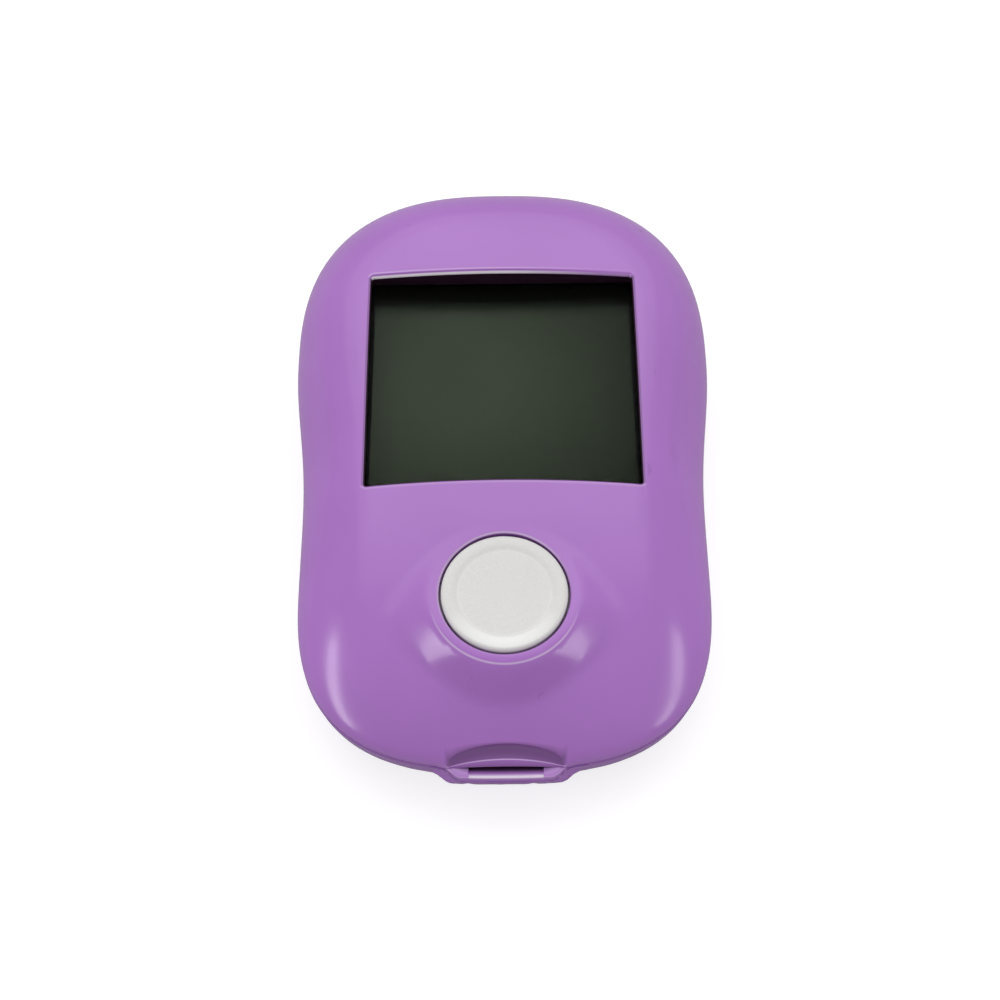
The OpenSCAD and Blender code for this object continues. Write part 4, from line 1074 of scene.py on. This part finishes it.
def makeFasteners():
    made = []
    for node, name, kind in (("case_screws", "caseScrews", "case"), ("board_screws", "boardScrews", "board")):
        shank, head = screw[kind + "Shank"], screw[kind + "Head"]
        boxes = solidBoxes(node)
        low, high = boxes[0]
        width, length = high[0] - low[0], high[2] - low[2]
        form = makeScrewForm(name + "Form", width / 2 - 0.01, head, shank, length - head)
        places = []
        for k, (low, high) in enumerate(boxes):
            x, y, _ = (low + high) / 2
            places.append(((x, y, low[2] + head), (0, 0, 0.5 + 0.9 * k), (1, 1, 1)))  # each turned differently
        made.append(scattered(name, form, places, finishes["screws"], node))
        bpy.data.objects.remove(form)
    chip = makeChipForm()
    places = []
    for low, high in solidBoxes("small_parts"):
        x, y, z = (float(v) for v in high - low)
        turn = 0 if y >= x else math.pi / 2
        places.append((tuple((low + high) / 2), (0, 0, turn), (min(x, y), max(x, y), z)))
    made.append(scattered("smallParts", chip, places, finishes["small_parts"], "small_parts"))
    bpy.data.objects.remove(chip)
    made.append(makeSprings(finishes["bright_metal"]))
    return made


# a finish on one shader, with the object's own coordinates for all patterns
class Finish:
    def __init__(self, name):
        self.material = bpy.data.materials.new(name)
        self.material.use_nodes = True
        self.tree = self.material.node_tree
        self.shader = self.tree.nodes["Principled BSDF"]
        self.output = self.tree.nodes["Material Output"]
        self.coords = self.tree.nodes.new("ShaderNodeTexCoord").outputs["Object"]

    def set(self, **values):
        for key, value in values.items():
            self.shader.inputs[key.replace("_", " ")].default_value = value

    def node(self, kind, inputs=(), **settings):
        return addNode(self.tree, kind, inputs, **settings)

    def link(self, source, socket):
        self.tree.links.new(source, self.shader.inputs[socket])

    def noise(self, scale, detail=3.0, rough=0.5, stretch=None):
        place = self.coords
        if stretch is not None:
            place = self.node("ShaderNodeMapping", {"Vector": place, "Scale": stretch}).outputs[0]
        return self.node("ShaderNodeTexNoise", {"Vector": place, "Scale": scale, "Detail": detail,
                                                "Roughness": rough}).outputs[0]

    # a value brought from one range to another; most noise lies in the first range given here
    def spread(self, value, low=0.3, high=0.7, toLow=0, toHigh=1):
        return self.node("ShaderNodeMapRange", {"Value": value, "From Min": low, "From Max": high,
                                                "To Min": toLow, "To Max": toHigh}).outputs[0]

    def roughness(self, low, high, scale, detail=3.0, rough=0.5):
        self.link(self.spread(self.noise(scale, detail, rough), toLow=low, toHigh=high), "Roughness")

    # what the sheets give each point: painted shade up to 1, as dark as a deep recess, painted highlight down to
    # -1; the chip form marks its tin with 1
    def shade(self):
        return self.node("ShaderNodeAttribute", attribute_name="shade").outputs["Fac"]

    def math(self, operation, a, b=0.0):
        return self.node("ShaderNodeMath", {0: a, 1: b}, operation=operation).outputs[0]

    # the colour between two, by a value from 0 to 1
    def blend(self, value, first, second):
        inputs = {0: value}
        for index, colour in ((6, first), (7, second)):
            inputs[index] = colour if isinstance(colour, bpy.types.NodeSocket) else (*colour, 1)
        return self.node("ShaderNodeMix", inputs, data_type="RGBA").outputs[2]

    def bump(self, height, distance, strength=1.0):
        made = self.node("ShaderNodeBump", {"Height": height, "Distance": distance, "Strength": strength})
        self.link(made.outputs[0], "Normal")


# a colour as a screen shows it, from 0 to 255, brought to the linear scale of the shaders
def linear(*colour):
    return tuple(v / 12.92 if v <= 0.04045 else ((v + 0.055) / 1.055) ** 2.4 for v in (c / 255 for c in colour))


def scaled(colour, factor):
    return tuple(min(c * factor, 1) for c in colour)


# glossy moulded plastic: faint mottling, handling smears, hairline scratches and the mould's fine ripple; a shaded
# piece also gets painted shade and painted highlights from its mesh
def mouldedPlastic(name, colour, gloss=0.15, shaded=False):
    f = Finish(name)
    f.set(Roughness=gloss, IOR=1.5)
    tone = f.blend(f.spread(f.noise(55, 4)), scaled(colour, 0.955), scaled(colour, 1.03))
    if shaded:
        # painted shade darkens and painted highlights pale the colour, as the mesh's shade says
        shade = f.shade()
        tone = f.blend(f.spread(shade, 0, 1), tone, window["paintedShadeColour"])
        tone = f.blend(f.spread(shade, 0, -1), tone, window["paintedHighlightColour"])
    marks = f.math("MULTIPLY", f.spread(f.noise(190, 1, 0.4), 0.71, 0.74),
                   f.spread(f.noise(900, 2, 0.5, (1, 0.12, 1)), 0.60, 0.68, 0, 0.32))
    f.link(f.blend(marks, tone, scaled(colour, 0.35)), "Base Color")
    smears = f.spread(f.noise(140, 5, 0.6), 0.35, 0.7, gloss - 0.02, gloss + 0.04)
    hairs = f.spread(f.noise(700, 2, 0.5, (1, 0.06, 1)), 0.70, 0.76, 0, 0.05)
    f.link(f.math("ADD", smears, hairs), "Roughness")
    f.bump(f.noise(1400, 3, 0.55), 0.000005, 0.5)
    return f.material


# fine grain of the mould, faint soil; a shaded piece gets painted highlights, paler where its mesh's shade is below
# zero
def mattPlastic(name, colour, rough=0.55, grainScale=5200, grainDepth=0.00004, speckle=0.05, shaded=False):
    f = Finish(name)
    f.set(Roughness=rough, IOR=1.48)
    grain = f.noise(grainScale, 3, 0.6)
    tone = f.blend(f.spread(grain), scaled(colour, 1 - speckle), scaled(colour, 1 + speckle * 0.6))
    if shaded:
        # painted highlight
        tone = f.blend(f.spread(f.shade(), 0, -1), tone, (0.98, 0.98, 0.975))
    soil = f.spread(f.noise(160, 4, 0.6), 0.55, 0.8, 0, 0.35)
    f.link(f.blend(soil, tone, scaled(colour, 0.94)), "Base Color")
    f.roughness(rough - 0.05, rough + 0.07, 420)
    f.bump(grain, grainDepth, 0.7)
    return f.material


def brightMetal(name, colour, rough=0.28, lines=(1, 1, 0.05)):
    f = Finish(name)
    f.set(Metallic=1.0)
    brushed = f.noise(3000, 3, 0.6, lines)
    f.link(f.blend(f.spread(brushed), scaled(colour, 0.85), colour), "Base Color")
    f.roughness(rough - 0.08, rough + 0.14, 600, 4)
    f.bump(brushed, 0.000008, 0.5)
    return f.material


def clearAcrylic(name):
    f = Finish(name)
    f.set(Transmission_Weight=1.0, IOR=1.09, Base_Color=(0.96, 0.97, 0.965, 1))
    f.link(f.spread(f.noise(120, 5, 0.6), 0.45, 0.75, 0.01, 0.05), "Roughness")
    return f.material


# dark glass with a painted reflection, palest about one place, a painted shadow as a black band at its far side,
# and a black border half hidden by the shell
glass = {
    "pale": (0.047, 0.062, 0.040), "dark": (0.007, 0.015, 0.004), "paintedShadowColour": (0.003, 0.003, 0.003),
    "borderColour": (0.004, 0.004, 0.004), "border": 0.8, "borderSoft": 0.08,
    "paintedReflectionAt": (-0.006, 0.010, 0.0155), "paintedReflectionFrom": 8.0, "paintedReflectionTo": 30.0,
    "paintedShadowFrom": 4.9, "paintedShadowTo": 2.3, "paintedShadowShare": 0.93,
}


def displayGlass(name):
    f, g = Finish(name), glass
    f.set(Roughness=0.06, IOR=1.5, Specular_IOR_Level=0.05)
    parts = f.node("ShaderNodeSeparateXYZ", {"Vector": f.coords})
    x = f.math("ABSOLUTE", parts.outputs[0])
    y = f.math("ABSOLUTE", f.math("SUBTRACT", parts.outputs[1], window["y"] * 0.001))
    across = f.math("SUBTRACT", x, (window["width"] / 2 - g["border"]) * 0.001)
    along = f.math("SUBTRACT", y, (window["length"] / 2 - g["border"]) * 0.001)
    outside = f.spread(f.math("MAXIMUM", across, along), 0, g["borderSoft"] * 0.001)
    # painted reflection: palest about one place, darker further away
    far = f.node("ShaderNodeVectorMath", {0: f.coords, 1: g["paintedReflectionAt"]}, operation="DISTANCE").outputs[1]
    far = f.math("ADD", far, f.math("MULTIPLY", f.noise(45, 3), 0.002))
    tone = f.blend(f.spread(far, g["paintedReflectionFrom"] * 0.001, g["paintedReflectionTo"] * 0.001), g["pale"], g["dark"])
    # painted shadow of the window's far wall, across the far side of the glass
    band = f.spread(parts.outputs[1], (windowTop - g["paintedShadowFrom"]) * 0.001, (windowTop - g["paintedShadowTo"]) * 0.001,
                    0, g["paintedShadowShare"])
    tone = f.blend(band, tone, g["paintedShadowColour"])
    f.link(f.blend(outside, tone, g["borderColour"]), "Base Color")
    f.roughness(0.05, 0.09, 500)
    f.bump(f.noise(900, 2), 0.000002, 0.3)
    return f.material


def bandedRubber(name):
    f = Finish(name)
    f.set(Roughness=0.6)
    wave = f.node("ShaderNodeTexWave", {"Vector": f.coords, "Scale": 900.0, "Distortion": 0.4},
                  bands_direction="Y").outputs[1]
    f.link(f.blend(wave, linear(214, 120, 130), linear(70, 45, 48)), "Base Color")
    f.bump(f.noise(2500, 2), 0.00001, 0.5)
    return f.material


# solder mask over copper tracks that show as a faint relief
def circuitGreen(name):
    f = Finish(name)
    f.set(Roughness=0.32, IOR=1.5)
    cells = f.node("ShaderNodeTexVoronoi", {"Vector": f.coords, "Scale": 420.0}, feature="DISTANCE_TO_EDGE",
                   distance="EUCLIDEAN").outputs[0]
    tracks = f.spread(cells, 0.06, 0.10)
    f.link(f.blend(tracks, linear(52, 122, 74), linear(20, 84, 48)), "Base Color")
    f.roughness(0.26, 0.4, 700)
    f.bump(tracks, 0.00002, 0.5)
    return f.material


# ceramic body with matt tin at both ends, as the form marks them
def tinnedCeramic(name):
    f = Finish(name)
    metal = f.spread(f.shade(), 0.4, 0.6)
    mottle = f.spread(f.noise(5200, 3, 0.6))
    body = f.blend(mottle, linear(150, 116, 78), linear(182, 148, 106))
    f.link(f.blend(metal, body, (0.62, 0.62, 0.60)), "Base Color")
    f.link(metal, "Metallic")
    f.link(f.spread(mottle, 0, 1, 0.34, 0.5), "Roughness")
    f.bump(mottle, 0.000008, 0.5)
    return f.material


# plain shrink wrap round a steel can: bare ends and a pale ring at each edge, at distances from the middle
cell = {"leftY": 13.05, "rightY": 8.55, "bareFrom": 21.35, "ringFrom": 18.8, "soft": 0.05, "ringShare": 0.85}


def cellWrap(name, middle):
    f, c = Finish(name), cell
    y = f.node("ShaderNodeSeparateXYZ", {"Vector": f.coords}).outputs[1]
    reach = f.math("ABSOLUTE", f.math("SUBTRACT", y, middle * 0.001))
    bare, ring = (f.spread(reach, start * 0.001, (start + c["soft"]) * 0.001)
                  for start in (c["bareFrom"], c["ringFrom"]))
    wrap = f.blend(f.spread(f.noise(90, 4)), linear(28, 74, 128), linear(36, 88, 148))
    wrap = f.blend(f.math("MULTIPLY", ring, c["ringShare"]), wrap, linear(196, 200, 204))
    f.link(f.blend(bare, wrap, (0.60, 0.60, 0.58)), "Base Color")
    f.link(bare, "Metallic")
    f.roughness(0.24, 0.4, 260, 4, 0.6)
    f.bump(f.noise(2600, 3, 0.6, (1, 0.05, 1)), 0.000006, 0.4)
    return f.material


finishes = {
    "front_cover": mouldedPlastic("lilacFront", linear(177, 119, 204), 0.19, shaded=True),
    "rear_cover": mouldedPlastic("lilacRear", linear(172, 116, 198), 0.15),
    "battery_door": mouldedPlastic("lilacDoor", linear(172, 116, 198), 0.15),
    "strip_port_bezel": mouldedPlastic("lilacPort", linear(178, 122, 204), 0.13, shaded=True),
    "main_button": mattPlastic("warmWhiteCap", linear(228, 227, 225), 0.4, 3600, 0.00003, 0.045, shaded=True),
    "display_lens": clearAcrylic("clearLens"),
    "lens_seal": mattPlastic("blackFoam", linear(20, 20, 20), 0.8, 2600, 0.00005, 0.2),
    "display_holder": mattPlastic("blackHolder", linear(26, 26, 27), 0.5),
    "display_front_glass": displayGlass("displayFront"),
    "display_rear_glass": displayGlass("displayRear"),
    "display_reflector": mattPlastic("reflectorFilm", linear(190, 192, 184), 0.4, 3000, 0.00001, 0.04),
    "zebra_connectors": bandedRubber("zebraRubber"),
    "main_board": circuitGreen("solderMask"),
    "chips": mattPlastic("chipBlack", linear(34, 34, 36), 0.5, 7000, 0.00001, 0.15),
    "small_parts": tinnedCeramic("ceramicTan"),
    "bright_metal": brightMetal("nickel", (0.66, 0.65, 0.62), 0.28, (1, 0.05, 1)),
    "black_plastic": mattPlastic("blackPlastic", linear(30, 30, 31), 0.45),
    "cream_plastic": mattPlastic("creamNylon", linear(226, 218, 196), 0.42, 4200, 0.00002, 0.04),
    "gold_contacts": brightMetal("goldPlate", (0.86, 0.60, 0.22), 0.22),
    "cells": cellWrap("cellWrapLeft", cell["leftY"]),
    "cellRight": cellWrap("cellWrapRight", cell["rightY"]),
    "screws": brightMetal("zincScrew", (0.62, 0.62, 0.63), 0.3, (1, 1, 1)),
}
slotOf = {p["node"]: p["material_slot"] for p in frame["record"]["subparts"]}
for node, made in frame["nodes"].items():
    made.data.materials.clear()
    made.data.materials.append(finishes["cellRight" if node == "battery_right" else slotOf[node]])
for made, name in ((frontCover, "front_cover"), (buttonCap, "main_button"), (lens, "display_lens"),
                   (seal, "lens_seal"), (frontGlass, "display_front_glass"), (rearGlass, "display_rear_glass"),
                   (portJaw, "strip_port_bezel"), (rearCover, "rear_cover"), (batteryDoor, "battery_door")):
    made.data.materials.append(finishes[name])
print("finishes made:", len(finishes))
fasteners = makeFasteners()
print("screws, springs and small parts made:", len(fasteners))

# floor, lamps and surroundings, in metres; the world grows brighter towards worldLean
studio = {
    "floorSize": 3.0, "floorZ": -0.0001, "floorColour": (0.52, 0.52, 0.52), "floorLift": 0.68,
    "world": 0.375, "worldLean": (0.025, 0.10, 0.24), "worldLeast": 0.12, "aim": (0, 0, 0.01),
    "lamps": [
        {"name": "broad", "place": (-0.02, 0.36, 0.60), "size": (0.8, 0.42), "power": 0.55},
        {"name": "broader", "place": (-0.02, 0.46, 0.68), "size": (1.5, 0.94), "power": 2.5},
        {"name": "leftSide", "place": (-0.45, -0.19, 0.184), "size": (0.33, 0.08), "power": 0.54,
         "across": (0.236, -0.925, -0.296)},
        {"name": "rightSide", "place": (0.45, -0.19, 0.184), "size": (0.33, 0.08), "power": 0.40,
         "across": (-0.236, -0.925, -0.296)},
    ],
}


def makeFloor():
    half, z, colour = studio["floorSize"] / 2, studio["floorZ"], studio["floorColour"]
    mesh = bpy.data.meshes.new("floor")
    corners = [(-half, -half, z), (half, -half, z), (half, half, z), (-half, half, z)]
    mesh.from_pydata(corners, [], [(0, 1, 2, 3)])
    addObject("floor", mesh)
    f = Finish("paleFloor")
    f.set(Roughness=0.9, Specular_IOR_Level=0.1)
    f.link(f.blend(f.noise(4, 2), colour, scaled(colour, 0.99)), "Base Color")
    rays = f.node("ShaderNodeLightPath").outputs["Is Camera Ray"]
    glow = f.node("ShaderNodeEmission", {"Strength": f.math("MULTIPLY", rays, studio["floorLift"])})
    both = f.node("ShaderNodeAddShader", {0: f.shader.outputs[0], 1: glow.outputs[0]})
    f.tree.links.new(both.outputs[0], f.output.inputs[0])
    mesh.materials.append(f.material)


def makeWorld():
    world = bpy.data.worlds.new("softRoom")
    world.use_nodes = True
    tree = world.node_tree
    toward = addNode(tree, "ShaderNodeTexCoord").outputs["Generated"]
    lean = addNode(tree, "ShaderNodeVectorMath", {0: toward, 1: studio["worldLean"]}, operation="DOT_PRODUCT")
    level = addNode(tree, "ShaderNodeMath", {0: lean.outputs["Value"], 1: studio["world"]}, operation="ADD")
    least = addNode(tree, "ShaderNodeMath", {0: level.outputs[0], 1: studio["worldLeast"]}, operation="MAXIMUM")
    # the camera itself sees plain white behind the floor
    seen = addNode(tree, "ShaderNodeLightPath").outputs["Is Camera Ray"]
    whole = addNode(tree, "ShaderNodeMath", {0: least.outputs[0], 1: seen}, operation="MAXIMUM")
    sky = tree.nodes["Background"]
    sky.inputs[0].default_value = (1, 1, 1, 1)
    tree.links.new(whole.outputs[0], sky.inputs[1])
    bpy.context.scene.world = world


def makeLamps():
    for lamp in studio["lamps"]:
        data = bpy.data.lights.new(lamp["name"], "AREA")
        data.shape = "RECTANGLE"
        data.size, data.size_y = lamp["size"]
        data.energy = lamp["power"]
        made = addObject(lamp["name"], data)
        made.location = lamp["place"]
        back = (Vector(lamp["place"]) - Vector(studio["aim"])).normalized()
        across = Vector(lamp.get("across", Vector((0, 0, 1)).cross(back)))
        across = (across - back * across.dot(back)).normalized()
        made.rotation_euler = Matrix((across, back.cross(across), back)).transposed().to_euler()


makeFloor()
makeWorld()
makeLamps()
bpy.context.scene.view_settings.view_transform = "Standard"

# scale is pixels for each millimetre at the target, which stands at x and y of a picture this wide
camera = {
    "target": (0, 0, 0.010), "distance": 0.220, "tilt": 30.0, "roll": 0.53,
    "scale": 7.63, "x": 503.3, "y": 467.4, "picture": 1000, "sensor": 36,
}


def makeCamera():
    c = camera
    tilt = math.radians(c["tilt"])
    back = Vector((0, -math.sin(tilt), math.cos(tilt)))
    right = Vector((1, 0, 0))
    turn = Matrix((right, back.cross(right), back)).transposed()
    turn = turn @ Matrix.Rotation(-math.radians(c["roll"]), 3, "Z")
    data = bpy.data.cameras.new("camera")
    data.sensor_width = c["sensor"]
    data.lens = c["scale"] * 1000 * c["distance"] / c["picture"] * c["sensor"]
    data.shift_x = (c["picture"] / 2 - c["x"]) / c["picture"]
    data.shift_y = (c["y"] - c["picture"] / 2) / c["picture"]
    data.clip_start, data.clip_end = 0.01, 10
    made = addObject("camera", data)
    made.matrix_world = Matrix.Translation(Vector(c["target"]) + back * c["distance"]) @ turn.to_4x4()
    bpy.context.scene.camera = made


makeCamera()
print("studio and camera made")
